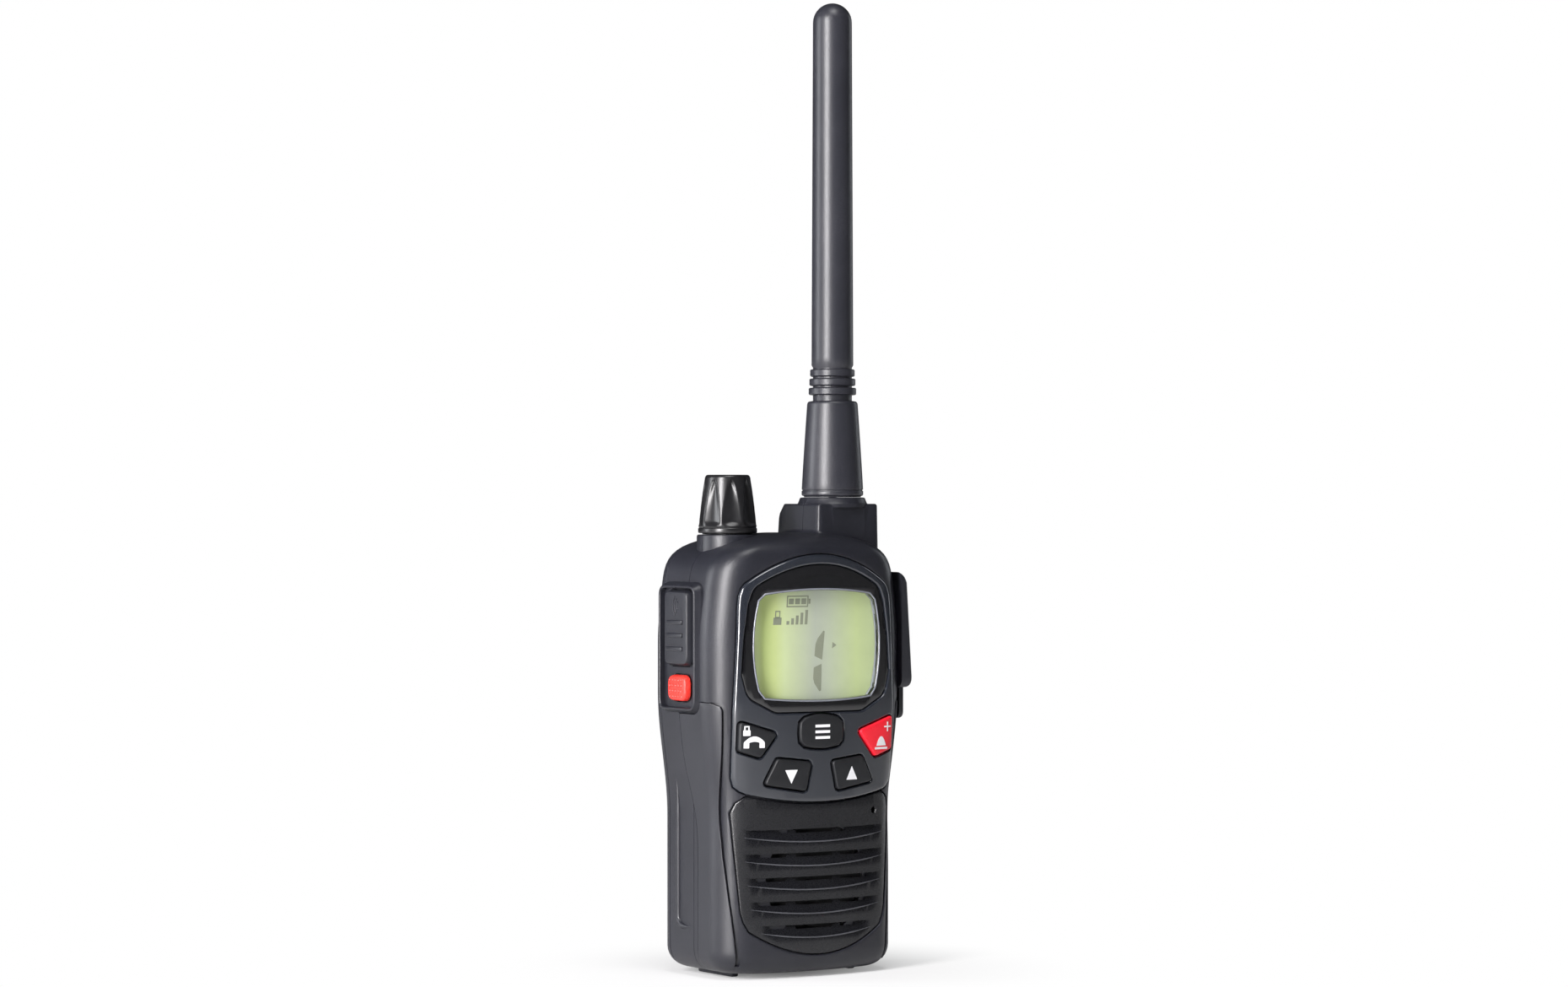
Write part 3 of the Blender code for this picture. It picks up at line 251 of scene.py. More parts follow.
def strips(obj, stepX, stepZ=0.0):
    xs = [vert.co.x for vert in obj.data.vertices]
    zs = [vert.co.z for vert in obj.data.vertices]
    cuts = []
    if stepX:
        first = math.ceil(min(xs) / stepX)
        cuts += [((i * stepX, 0, 0), (1, 0, 0)) for i in range(first, int(max(xs) // stepX) + 1)]
    if stepZ:
        first = math.ceil(min(zs) / stepZ)
        cuts += [((0, 0, i * stepZ), (0, 0, 1)) for i in range(first, int(max(zs) // stepZ) + 1)]
    editing(obj)
    for point, normal in cuts:
        bpy.ops.mesh.select_all(action="SELECT")
        bpy.ops.mesh.bisect(plane_co=point, plane_no=normal)
    leaveEdit()
    return obj


def layOnFront(obj, stepX=1.2 * mm, stepZ=2.5 * mm):
    strips(obj, stepX, stepZ)
    for vert in obj.data.vertices:
        vert.co.y += frontY(vert.co.x, vert.co.z)
    return obj


turnLeft = Matrix(((0, 1, 0, 0), (-1, 0, 0, 0), (0, 0, 1, 0), (0, 0, 0, 1)))      # front view to left side
turnRight = Matrix(((0, -1, 0, 0), (1, 0, 0, 0), (0, 0, 1, 0), (0, 0, 0, 1)))
turnBack = Matrix(((-1, 0, 0, 0), (0, -1, 0, 0), (0, 0, 1, 0), (0, 0, 0, 1)))


def placed(obj, matrix):
    obj.data.transform(matrix)
    return obj


def punch(name, outline, y, depth, matrix):      # a straight cutter, turned to its side of the case
    return placed(buildUp(flatFace(name, outline, y), [(0, depth)]), matrix)


def carve(obj, *tools, operation="DIFFERENCE"):
    for tool in tools:
        activate(obj)
        modifier = obj.modifiers.new("cut", "BOOLEAN")
        modifier.operation = operation
        modifier.solver = "EXACT"
        modifier.object = tool
        bpy.ops.object.modifier_apply(modifier=modifier.name)
        bpy.data.objects.remove(tool, do_unlink=True)
    return obj


def joined(obj, *others):
    activate(obj)
    for other in others:
        other.select_set(True)
    bpy.ops.object.join()
    return obj


def copied(obj, name):
    twin = obj.copy()
    twin.data = obj.data.copy()
    twin.name = name
    bpy.context.collection.objects.link(twin)
    return twin


def mirroredCopy(obj, name):
    twin = copied(obj, name)
    twin.data.transform(Matrix.Diagonal((-1, 1, 1, 1)))
    faceOut(twin)
    return twin


def block(name, low, high, rounding=0.0, segments=3):
    size = [b - a for a, b in zip(low, high)]
    bpy.ops.mesh.primitive_cube_add(size=1.0)
    obj = bpy.context.object
    obj.name = name
    middle = [(a + b) / 2 for a, b in zip(low, high)]
    obj.data.transform(Matrix.Translation(middle) @ Matrix.Diagonal((*size, 1)))
    if rounding:
        editing(obj)
        bpy.ops.mesh.bevel(offset=rounding, segments=segments, affect="EDGES")
        leaveEdit()
    return obj


def rod(name, low, high, radius, count=24, endRadius=None):      # a round bar between two points
    low, high = Vector(low), Vector(high)
    along = high - low
    bpy.ops.mesh.primitive_cone_add(vertices=count, radius1=radius, radius2=endRadius or radius,
                                    depth=along.length)
    obj = bpy.context.object
    obj.name = name
    turn = Vector((0, 0, 1)).rotation_difference(along).to_matrix().to_4x4()
    obj.data.transform(Matrix.Translation((low + high) / 2) @ turn)
    return obj


def upright(name, x, y, low, high, radius):
    return rod(name, (x, y, low), (x, y, high), radius, 32)


def tube(name, points, radius, closed=False, taper=False, sideCount=4):      # a round bead along points
    curve = bpy.data.curves.new(name, "CURVE")
    curve.dimensions = "3D"
    curve.bevel_depth = radius
    curve.bevel_resolution = sideCount
    curve.use_fill_caps = True
    spline = curve.splines.new("POLY")
    spline.points.add(len(points) - 1)
    for i, (point, co) in enumerate(zip(spline.points, points)):
        point.co = (*co, 1.0)
        if taper:
            t = i / (len(points) - 1)
            point.radius = 0.25 + 0.75 * min(1.0, 6 * t, 6 * (1 - t))
    spline.use_cyclic_u = closed
    obj = bpy.data.objects.new(name, curve)
    bpy.context.collection.objects.link(obj)
    activate(obj)
    bpy.ops.object.convert(target="MESH")
    obj = bpy.context.object
    editing(obj)
    bpy.ops.mesh.remove_doubles(threshold=0.000002)
    bpy.ops.mesh.normals_make_consistent(inside=False)
    leaveEdit()
    return obj


def painted(obj, material):
    obj.data.materials.clear()
    obj.data.materials.append(material)
    return obj


def finished(obj, rides, materials, replaces=(), smooth=35):
    obj.data.transform(Matrix.Translation((0, middleY, 0)))
    indices = [face.material_index for face in obj.data.polygons]
    obj.data.materials.clear()
    for material in materials:
        obj.data.materials.append(material)
    for face, index in zip(obj.data.polygons, indices):      # joined parts keep their own finish
        face.material_index = min(index, len(materials) - 1)
    activate(obj)
    if smooth:
        bpy.ops.object.shade_smooth_by_angle(angle=math.radians(smooth))
    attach(obj, rides)
    if replaces:
        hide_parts(*replaces)
    return obj


# outlines
def bow(first, last, rise, steps):
    (x0, y0), (x1, y1) = first, last
    length = math.dist(first, last)
    points = []
    for i in range(steps + 1):
        t = i / steps
        height = rise * (1 - (2 * t - 1) ** 2)
        points.append((x0 + (x1 - x0) * t + (y0 - y1) / length * height,
                       y0 + (y1 - y0) * t + (x1 - x0) / length * height))
    return points


def rounded(corners, radius, steps=5):
    points = []
    for i, corner in enumerate(corners):
        here = Vector(corner)
        before = Vector(corners[i - 1]) - here
        after = Vector(corners[(i + 1) % len(corners)]) - here
        half = before.angle(after) / 2
        reach = min(radius / math.tan(half), before.length * 0.48, after.length * 0.48)
        first = here + before.normalized() * reach
        last = here + after.normalized() * reach
        for k in range(steps + 1):
            t = k / steps
            points.append(tuple(first * (1 - t) ** 2 + here * 2 * t * (1 - t) + last * t ** 2))
    return points


def grown(outline, distance):
    area = sum(a[0] * b[1] - b[0] * a[1] for a, b in zip(outline, outline[1:] + outline[:1]))
    side = 1 if area > 0 else -1
    result = []
    for i, point in enumerate(outline):
        before = Vector(point) - Vector(outline[i - 1])
        after = Vector(outline[(i + 1) % len(outline)]) - Vector(point)
        n1 = Vector((before.y, -before.x)).normalized()
        n2 = Vector((after.y, -after.x)).normalized()
        mitre = n1 + n2
        scale = distance * side * 2 / max(mitre.length_squared, 1.0)
        result.append((point[0] + mitre.x * scale, point[1] + mitre.y * scale))
    return result


def flipped(outline):
    return [(-x, z) for x, z in reversed(outline)]


def scaled(points):
    return [(x * mm, z * mm) for x, z in points]


# shared effects
def addNode(nodes, kind, settings=None, **options):
    node = nodes.new("ShaderNode" + kind)
    for label, value in (settings or {}).items():
        node.inputs[label].default_value = value
    for label, value in options.items():
        setattr(node, label, value)
    return node


def newMaterial(name, settings):
    material = bpy.data.materials.new(name)
    material.use_nodes = True
    nodes = material.node_tree.nodes
    for label, value in settings.items():
        nodes["Principled BSDF"].inputs[label].default_value = value
    return material, nodes, material.node_tree.links, nodes["Principled BSDF"]


def newGroup(name, inputs, outputs):
    group = bpy.data.node_groups.new(name, "ShaderNodeTree")
    for label, kind, value in inputs:
        socket = group.interface.new_socket(name=label, in_out="INPUT", socket_type=kind)
        socket.default_value = value
    for label, kind in outputs:
        group.interface.new_socket(name=label, in_out="OUTPUT", socket_type=kind)
    return group, group.nodes.new("NodeGroupInput"), group.nodes.new("NodeGroupOutput")


def mouldedTexture():      # fine spark-eroded grain with faint larger patches
    group, given, out = newGroup("mouldedTexture", [
        ("Colour", "NodeSocketColor", (0.05, 0.05, 0.05, 1)),
        ("Fleck Colour", "NodeSocketColor", (0.1, 0.1, 0.1, 1)),
        ("Grain Scale", "NodeSocketFloat", 3500.0), ("Patch Scale", "NodeSocketFloat", 60.0),
        ("Rough Low", "NodeSocketFloat", 0.4), ("Rough High", "NodeSocketFloat", 0.5)],
        [("Colour", "NodeSocketColor"), ("Roughness", "NodeSocketFloat"), ("Height", "NodeSocketFloat")])
    nodes, links = group.nodes, group.links
    coords = addNode(nodes, "TexCoord")
    grain = addNode(nodes, "TexNoise", {"Detail": 3.0, "Roughness": 0.6})
    patch = addNode(nodes, "TexNoise", {"Detail": 4.0})
    links.new(coords.outputs["Object"], grain.inputs["Vector"])
    links.new(coords.outputs["Object"], patch.inputs["Vector"])
    links.new(given.outputs["Grain Scale"], grain.inputs["Scale"])
    links.new(given.outputs["Patch Scale"], patch.inputs["Scale"])
    blend = addNode(nodes, "MapRange", {"From Min": 0.35, "From Max": 0.75})
    links.new(patch.outputs["Fac"], blend.inputs["Value"])
    speck = addNode(nodes, "MapRange", {"From Min": 0.30, "From Max": 0.70})
    links.new(grain.outputs["Fac"], speck.inputs["Value"])
    both = addNode(nodes, "Math", operation="MULTIPLY")
    links.new(blend.outputs["Result"], both.inputs[0])
    links.new(speck.outputs["Result"], both.inputs[1])
    mix = addNode(nodes, "Mix", data_type="RGBA")
    links.new(both.outputs["Value"], mix.inputs["Factor"])
    links.new(given.outputs["Colour"], mix.inputs["A"])
    links.new(given.outputs["Fleck Colour"], mix.inputs["B"])
    rough = addNode(nodes, "MapRange")
    links.new(speck.outputs["Result"], rough.inputs["Value"])
    links.new(given.outputs["Rough Low"], rough.inputs["To Min"])
    links.new(given.outputs["Rough High"], rough.inputs["To Max"])
    links.new(mix.outputs["Result"], out.inputs["Colour"])
    links.new(rough.outputs["Result"], out.inputs["Roughness"])
    links.new(grain.outputs["Fac"], out.inputs["Height"])
    return group


def dustFilm():      # pale dust and tiny scuffs that break up a gloss
    group, given, out = newGroup("dustFilm", [
        ("Colour", "NodeSocketColor", (0.02, 0.02, 0.02, 1)),
        ("Dust Colour", "NodeSocketColor", (0.3, 0.3, 0.3, 1)),
        ("Scale", "NodeSocketFloat", 500.0), ("Amount", "NodeSocketFloat", 0.2),
        ("Rough Base", "NodeSocketFloat", 0.1)],
        [("Colour", "NodeSocketColor"), ("Roughness", "NodeSocketFloat")])
    nodes, links = group.nodes, group.links
    coords = addNode(nodes, "TexCoord")
    cloud = addNode(nodes, "TexNoise", {"Detail": 6.0})
    links.new(coords.outputs["Object"], cloud.inputs["Vector"])
    links.new(given.outputs["Scale"], cloud.inputs["Scale"])
    mask = addNode(nodes, "MapRange", {"From Min": 0.52, "From Max": 0.80})
    links.new(cloud.outputs["Fac"], mask.inputs["Value"])
    strength = addNode(nodes, "Math", operation="MULTIPLY")
    links.new(mask.outputs["Result"], strength.inputs[0])
    links.new(given.outputs["Amount"], strength.inputs[1])
    mix = addNode(nodes, "Mix", data_type="RGBA")
    links.new(strength.outputs["Value"], mix.inputs["Factor"])
    links.new(given.outputs["Colour"], mix.inputs["A"])
    links.new(given.outputs["Dust Colour"], mix.inputs["B"])
    add = addNode(nodes, "Math", operation="ADD")
    links.new(strength.outputs["Value"], add.inputs[0])
    links.new(given.outputs["Rough Base"], add.inputs[1])
    links.new(mix.outputs["Result"], out.inputs["Colour"])
    links.new(add.outputs["Value"], out.inputs["Roughness"])
    return group


texture = mouldedTexture()
dust = dustFilm()


def matte(name, colour, fleckColour, grain=2600.0, depth=0.25, rough=(0.42, 0.55), patch=60.0, metallic=0.0,
          specular=0.5):
    material, nodes, links, shader = newMaterial(name, {"Metallic": metallic, "Specular IOR Level": specular})
    surface = addNode(nodes, "Group", node_tree=texture)
    for label, value in (("Colour", (*colour, 1)), ("Fleck Colour", (*fleckColour, 1)), ("Grain Scale", grain),
                         ("Patch Scale", patch), ("Rough Low", rough[0]), ("Rough High", rough[1])):
        surface.inputs[label].default_value = value
    bump = addNode(nodes, "Bump", {"Strength": depth, "Distance": 0.06 * mm})
    links.new(surface.outputs["Height"], bump.inputs["Height"])
    links.new(bump.outputs["Normal"], shader.inputs["Normal"])
    links.new(surface.outputs["Colour"], shader.inputs["Base Color"])
    links.new(surface.outputs["Roughness"], shader.inputs["Roughness"])
    return material


def glossy(name, colour, film, amount=0.05, rough=0.08, coat=0.5):
    material, nodes, links, shader = newMaterial(name, {"Coat Weight": coat, "Coat Roughness": 0.04})
    surface = addNode(nodes, "Group", node_tree=dust)
    for label, value in (("Colour", (*colour, 1)), ("Dust Colour", (*film, 1)), ("Amount", amount),
                         ("Rough Base", rough)):
        surface.inputs[label].default_value = value
    links.new(surface.outputs["Colour"], shader.inputs["Base Color"])
    links.new(surface.outputs["Roughness"], shader.inputs["Roughness"])
    return material


caseSkin = matte("caseSkin", (0.0115, 0.012, 0.0165), (0.022, 0.0225, 0.030), depth=0.35, rough=(0.33, 0.44),
                 specular=0.42)
gripSkin = matte("gripSkin", (0.011, 0.0115, 0.016), (0.020, 0.021, 0.028), depth=0.4, rough=(0.36, 0.48))
panelSkin = matte("panelSkin", (0.005, 0.0052, 0.0068), (0.011, 0.0115, 0.014), grain=4200.0, depth=0.2,
                  rough=(0.24, 0.34), specular=0.5)
# louvre lip beads: their pale colour is a painted highlight along each lip
lipHighlight = matte("lipHighlight", (0.060, 0.062, 0.070), (0.100, 0.103, 0.115), grain=4200.0, depth=0.2,
                rough=(0.28, 0.38))
bezelSmoke = glossy("bezelSmoke", (0.016, 0.0185, 0.025), (0.08, 0.09, 0.11), rough=0.22, coat=0.9)
lensGloss = glossy("lensGloss", (0.006, 0.006, 0.007), (0.05, 0.05, 0.05), amount=0.03, rough=0.04, coat=1.0)
# window wall and bead: glossy, and their pale grey is a painted highlight of the light the clear window edge
# catches
windowEdgeHighlight = glossy("windowEdgeHighlight", (0.16, 0.17, 0.20), (0.3, 0.3, 0.32), amount=0.04, rough=0.06, coat=1.0)
keySkin = matte("keySkin", (0.008, 0.0085, 0.010), (0.016, 0.017, 0.020), grain=4200.0, depth=0.2,
                rough=(0.40, 0.52), specular=0.4)
keyRed = matte("keyRed", (0.82, 0.010, 0.026), (0.88, 0.022, 0.040), grain=3000.0, depth=0.12,
               rough=(0.30, 0.42))
sideRed = matte("sideRed", (0.64, 0.022, 0.014), (0.76, 0.055, 0.040), grain=1500.0, depth=0.5,
                rough=(0.35, 0.5))
printWhite = matte("printWhite", (0.74, 0.74, 0.76), (0.82, 0.82, 0.84), grain=3000.0, depth=0.05,
                   rough=(0.5, 0.6))
knobGloss = glossy("knobGloss", (0.009, 0.009, 0.010), (0.05, 0.05, 0.05), amount=0.04, rough=0.30, coat=0.0)
antennaSkin = matte("antennaSkin", (0.017, 0.0175, 0.023), (0.032, 0.032, 0.040), depth=0.45,
                    rough=(0.32, 0.44))
steelSkin = matte("steelSkin", (0.50, 0.50, 0.52), (0.62, 0.62, 0.63), grain=900.0, depth=0.1,
                  rough=(0.22, 0.36), metallic=1.0)
brassSkin = matte("brassSkin", (0.62, 0.44, 0.19), (0.74, 0.56, 0.28), grain=900.0, depth=0.1,
                  rough=(0.24, 0.36), metallic=1.0)
boardSkin = matte("boardSkin", (0.010, 0.085, 0.035), (0.020, 0.150, 0.060), grain=700.0, patch=900.0,
                  depth=0.3, rough=(0.30, 0.42))
wrapSkin = glossy("wrapSkin", (0.05, 0.12, 0.30), (0.35, 0.38, 0.45), amount=0.01, rough=0.25, coat=0.2)
coneSkin = matte("coneSkin", (0.020, 0.020, 0.021), (0.045, 0.045, 0.047), grain=1200.0, depth=0.6,
                 rough=(0.75, 0.9))
innerSkin = matte("innerSkin", (0.11, 0.11, 0.12), (0.16, 0.16, 0.17), grain=2000.0, depth=0.2,
                  rough=(0.4, 0.5))
matSkin = matte("matSkin", (0.045, 0.045, 0.050), (0.07, 0.07, 0.075), grain=2000.0, depth=0.3,
                rough=(0.6, 0.7))


def displayFace():      # liquid crystal, glowing faintly in its own colour: greener at the sides, greyer in the middle where a reflection is painted
    material, nodes, links, shader = newMaterial("displayFace", {
        "Coat Weight": 0.3, "Roughness": 0.3, "Emission Strength": 0.21})
    coords = addNode(nodes, "TexCoord")
    split = addNode(nodes, "SeparateXYZ")
    across = addNode(nodes, "MapRange", {"From Min": -20.5 * mm, "From Max": 20.5 * mm})
    ramp = addNode(nodes, "ValToRGB")
    # green is the display's own colour; the greyer stops in the middle are a painted reflection
    tintAndReflection = [(0.0, (0.47, 0.55, 0.30)), (0.10, (0.36, 0.44, 0.16)), (0.20, (0.40, 0.47, 0.20)),
             (0.27, (0.42, 0.49, 0.27)), (0.52, (0.31, 0.34, 0.28)), (0.62, (0.33, 0.37, 0.28)),
             (0.85, (0.36, 0.43, 0.21)), (1.0, (0.32, 0.38, 0.21))]
    while len(ramp.color_ramp.elements) < len(tintAndReflection):
        ramp.color_ramp.elements.new(0.5)
    for element, (place, colour) in zip(ramp.color_ramp.elements, tintAndReflection):
        element.position = place
        element.color = (*colour, 1)
    grain = addNode(nodes, "TexNoise", {"Scale": 240.0})
    tone = addNode(nodes, "MapRange", {"To Min": 0.94, "To Max": 1.05})
    mix = addNode(nodes, "Mix", {"Factor": 1.0}, data_type="RGBA", blend_type="MULTIPLY")
    links.new(coords.outputs["Object"], split.inputs["Vector"])
    links.new(coords.outputs["Object"], grain.inputs["Vector"])
    links.new(split.outputs["X"], across.inputs["Value"])
    links.new(across.outputs["Result"], ramp.inputs["Fac"])
    links.new(grain.outputs["Fac"], tone.inputs["Value"])
    links.new(ramp.outputs["Color"], mix.inputs["A"])
    links.new(tone.outputs["Result"], mix.inputs["B"])
    links.new(mix.outputs["Result"], shader.inputs["Base Color"])
    links.new(mix.outputs["Result"], shader.inputs["Emission Color"])
    return material


lcdFace = displayFace()
lcdInk = matte("lcdInk", (0.20, 0.22, 0.16), (0.23, 0.25, 0.19), grain=2000.0, depth=0.0, rough=(0.4, 0.5))
print("materials made")


# camera, floor and light
view = {"lens": 98.45, "distance": 1.2, "turn": 33, "height": 133.6 * mm}
turn, away = math.radians(view["turn"]), view["distance"]
cameraPlace = (-away * math.sin(turn), middleY - away * math.cos(turn), view["height"])
bpy.ops.object.camera_add(location=cameraPlace, rotation=(math.radians(90), 0, -turn))
camera = bpy.context.object
camera.data.lens = view["lens"]
camera.data.sensor_width = 36
camera.data.clip_start = 0.01
bpy.context.scene.camera = camera
bpy.context.scene.view_settings.view_transform = "Standard"

studio = {"floorSize": 12.0, "fadeStart": -0.015, "fadeEnd": 0.09, "air": 0.025}
bpy.ops.mesh.primitive_plane_add(size=studio["floorSize"])
floor = bpy.context.object
floor.name = "studioFloor"
paper, nodes, links, shader = newMaterial("studioPaper", {
    "Base Color": (0.86, 0.86, 0.86, 1), "Roughness": 0.9, "Specular IOR Level": 0.1})
coords = addNode(nodes, "TexCoord")
far = addNode(nodes, "VectorMath", operation="LENGTH")
fade = addNode(nodes, "MapRange", {"From Min": studio["fadeStart"], "From Max": studio["fadeEnd"]},
               interpolation_type="SMOOTHSTEP")
white = addNode(nodes, "Emission")
path = addNode(nodes, "LightPath")
seen = addNode(nodes, "Math", operation="MULTIPLY")
blend = addNode(nodes, "MixShader")
links.new(coords.outputs["Object"], far.inputs[0])
links.new(far.outputs["Value"], fade.inputs["Value"])
links.new(fade.outputs["Result"], seen.inputs[0])
links.new(path.outputs["Is Camera Ray"], seen.inputs[1])
links.new(seen.outputs["Value"], blend.inputs["Fac"])
links.new(shader.outputs["BSDF"], blend.inputs[1])
links.new(white.outputs["Emission"], blend.inputs[2])
links.new(blend.outputs["Shader"], nodes["Material Output"].inputs["Surface"])
floor.data.materials.append(paper)

world = bpy.data.worlds.new("studioAir")
bpy.context.scene.world = world
world.use_nodes = True
nodes, links = world.node_tree.nodes, world.node_tree.links
air = nodes["Background"]
air.inputs["Color"].default_value = (0.92, 0.94, 1.0, 1)
air.inputs["Strength"].default_value = studio["air"]
backdrop = addNode(nodes, "Background", {"Color": (1, 1, 1, 1)})
path = addNode(nodes, "LightPath")
blend = addNode(nodes, "MixShader")
links.new(path.outputs["Is Camera Ray"], blend.inputs["Fac"])
links.new(air.outputs["Background"], blend.inputs[1])
links.new(backdrop.outputs["Background"], blend.inputs[2])
links.new(blend.outputs["Shader"], nodes["World Output"].inputs["Surface"])

lamps = {      # turn from the front towards the left, distance, height, width, length, power, colour
    "keySoftbox": (66, 1.20, 0.42, 0.30, 0.90, 34.0, (1.0, 0.98, 0.99)),
    "sideSoftbox": (122, 1.30, 0.30, 0.30, 0.80, 8.0, (0.95, 0.97, 1.0)),
    "faceSoftbox": (-33, 1.50, 0.30, 1.60, 1.00, 0.45, (1.0, 1.0, 1.0)),
    "topSoftbox": (20, 0.45, 1.30, 0.50, 0.50, 7.0, (1.0, 1.0, 1.0)),
    "rightStrip": (-100, 1.20, 0.30, 0.20, 0.80, 1.5, (0.9, 0.94, 1.0)),
}
for name, (side, distance, height, width, length, power, colour) in lamps.items():
    angle = math.radians(side)
    place = Vector((-distance * math.sin(angle), middleY - distance * math.cos(angle), height))
    aim = Vector((0, middleY, 0.09)) - place
    bpy.ops.object.light_add(type="AREA", location=place, rotation=aim.to_track_quat("-Z", "Y").to_euler())
    lamp = bpy.context.object
    lamp.name = name
    lamp.data.shape = "RECTANGLE"
    lamp.data.size = width
    lamp.data.size_y = length
    lamp.data.energy = power
    lamp.data.color = colour
print("studio set")


# outlines on the front, as (x, z)
bezelOutline = scaled([(-26.5, 74.0), (-26.4, 64.0), (-26.2, 55.6), (-25.6, 53.2), (-24.2, 51.9)])
bezelOutline += bow((-22.5 * mm, 51.1 * mm), (22.5 * mm, 51.1 * mm), -2.6 * mm, 16)
bezelOutline += scaled([(24.2, 51.9), (25.6, 53.2), (26.2, 55.6), (26.4, 64.0), (26.5, 74.0), (25.5, 95.0),
                        (25.25, 102.0), (24.9, 105.4), (24.1, 107.6)])
bezelOutline += bow((23.0 * mm, 108.9 * mm), (-23.0 * mm, 108.9 * mm), -7.9 * mm, 24)
bezelOutline += scaled([(-24.1, 107.6), (-24.9, 105.4), (-25.25, 102.0), (-25.5, 95.0)])

lensTop = bow((20.6 * mm, 107.6 * mm), (-20.6 * mm, 107.6 * mm), -6.4 * mm, 14)
lensLow = scaled([(-24.3, 84.0), (-22.6, 77.6), (-14.3, 73.3), (14.3, 73.3), (22.6, 77.6), (24.3, 84.0),
                  (23.6, 94.0), (22.2, 103.5)])
lensOutline = rounded(lensLow + lensTop + scaled([(-22.2, 103.5), (-23.6, 94.0)]), 5.0 * mm, 5)

windowOutline = bow((-17.3 * mm, 77.6 * mm), (17.3 * mm, 77.6 * mm), -0.9 * mm, 14)
windowOutline += bow((18.9 * mm, 79.6 * mm), (18.9 * mm, 104.0 * mm), -1.6 * mm, 12)
windowOutline += bow((17.2 * mm, 105.6 * mm), (-17.2 * mm, 105.6 * mm), -1.3 * mm, 14)
windowOutline += bow((-18.9 * mm, 104.0 * mm), (-18.9 * mm, 79.6 * mm), -1.6 * mm, 12)

callOutline = rounded(scaled([(-25.3, 71.3), (-25.3, 63.0), (-19.0, 61.0), (-13.9, 67.8)]), 1.1 * mm)
emergencyOutline = rounded(scaled([(12.5, 67.8), (18.8, 60.3), (25.5, 62.3), (25.5, 71.8)]), 1.1 * mm)
menuOutline = bow((-5.6 * mm, 63.9 * mm), (5.6 * mm, 63.9 * mm), -0.7 * mm, 8)
menuOutline += bow((7.0 * mm, 65.2 * mm), (7.0 * mm, 70.6 * mm), -0.25 * mm, 4)
menuOutline += bow((5.6 * mm, 71.9 * mm), (-5.6 * mm, 71.9 * mm), -0.9 * mm, 8)
menuOutline += bow((-7.0 * mm, 70.6 * mm), (-7.0 * mm, 65.2 * mm), -0.25 * mm, 4)
downOutline = rounded(scaled([(-14.1, 60.9), (-18.0, 53.6), (-5.1, 51.5), (-3.3, 59.7)]), 1.1 * mm)
upOutline = flipped(downOutline)
keyOutlines = {"call": callOutline, "menu": menuOutline, "emergency": emergencyOutline, "down": downOutline,
               "up": upOutline}

panelOutline = scaled([(-26.0, 46.0), (-25.4, 38.0), (-24.7, 30.0), (-24.2, 24.0), (-23.7, 18.6),
                       (-22.9, 15.8)])
panelOutline += bow((-21.6 * mm, 13.4 * mm), (21.6 * mm, 13.4 * mm), -7.0 * mm, 24)
panelOutline += scaled([(22.9, 15.8), (23.7, 18.6), (24.2, 24.0), (24.7, 30.0), (25.4, 38.0), (26.0, 46.0)])
panelOutline += bow((25.0 * mm, 48.6 * mm), (22.6 * mm, 50.5 * mm), 0.0, 2)
panelOutline += bow((21.8 * mm, 50.55 * mm), (-21.8 * mm, 50.55 * mm), 2.55 * mm, 16)
panelOutline += bow((-22.6 * mm, 50.5 * mm), (-25.0 * mm, 48.6 * mm), 0.0, 2)


def rimTool(name, outline, depth, lip=0.25 * mm, clearance=0.2 * mm, above=0.0):      # leaves a rounded lip
    tool = flatFace(name, grown(outline, clearance + lip), -3 * mm - above, toward=1)
    return buildUp(tool, [(0, 3 * mm)] + lipSteps(lip) + [(0, depth + above - lip)], toward=1)


# keypad bezel
bezel = {"proud": 0.6 * mm, "under": 1.15 * mm, "round": 0.75 * mm, "lensLip": 0.45 * mm, "keyLip": 0.4 * mm}
obj = flatFace("keypadBezel", bezelOutline, bezel["under"])
buildUp(obj, [(0, bezel["under"] + bezel["proud"] - bezel["round"])] + roundSteps(bezel["round"], 5))
tools = [rimTool("lensOpening", lensOutline, 3 * mm, bezel["lensLip"], 0.2 * mm, bezel["proud"])]
for name, outline in keyOutlines.items():
    tools.append(rimTool(name + "Opening", outline, 3 * mm, bezel["keyLip"], 0.35 * mm, bezel["proud"]))
carve(obj, *tools)
layOnFront(obj, 1.0 * mm, 2.0 * mm)
finished(obj, "case", [bezelSmoke], ["keypad_bezel"])
print("bezel made")

# display lens with its window
lens = {"under": 1.15 * mm, "proud": 0.1 * mm, "round": 0.35 * mm, "wall": 0.9 * mm, "wallDepth": 3.2 * mm,
        "bead": 0.26 * mm}
obj = flatFace("displayLens", lensOutline, lens["under"])
buildUp(obj, [(0, lens["under"] + lens["proud"] - lens["round"])] + roundSteps(lens["round"], 4))
obj = carve(obj, rimTool("windowOpening", windowOutline, 4 * mm, 0.2 * mm, 0.0, lens["proud"]))
layOnFront(obj, 1.2 * mm, 2.5 * mm)
wall = flatFace("windowWall", grown(windowOutline, lens["wall"]), lens["wallDepth"])
buildUp(wall, [(0, lens["wallDepth"] - 0.5 * mm)])
hole = flatFace("windowHole", windowOutline, -2 * mm, toward=1)
buildUp(hole, [(0, 8 * mm)], toward=1)
carve(wall, hole)
layOnFront(wall, 1.2 * mm, 2.5 * mm)
for vert in wall.data.vertices:      # its back is flat against the display
    if vert.co.y > frontY(vert.co.x, vert.co.z) + 2 * mm:
        vert.co.y = -15.0 * mm
# a glossy bead round the window; it and the wall take the pale painted-highlight grey
beadPath = [(x, frontY(x, z) - lens["proud"] + 0.02 * mm, z) for x, z in grown(windowOutline, 0.35 * mm)]
bead = tube("windowBead", beadPath, lens["bead"], closed=True)
joined(painted(obj, lensGloss), painted(wall, windowEdgeHighlight), painted(bead, windowEdgeHighlight))
finished(obj, "case", [lensGloss, windowEdgeHighlight], ["display_lens"])
print("lens made")

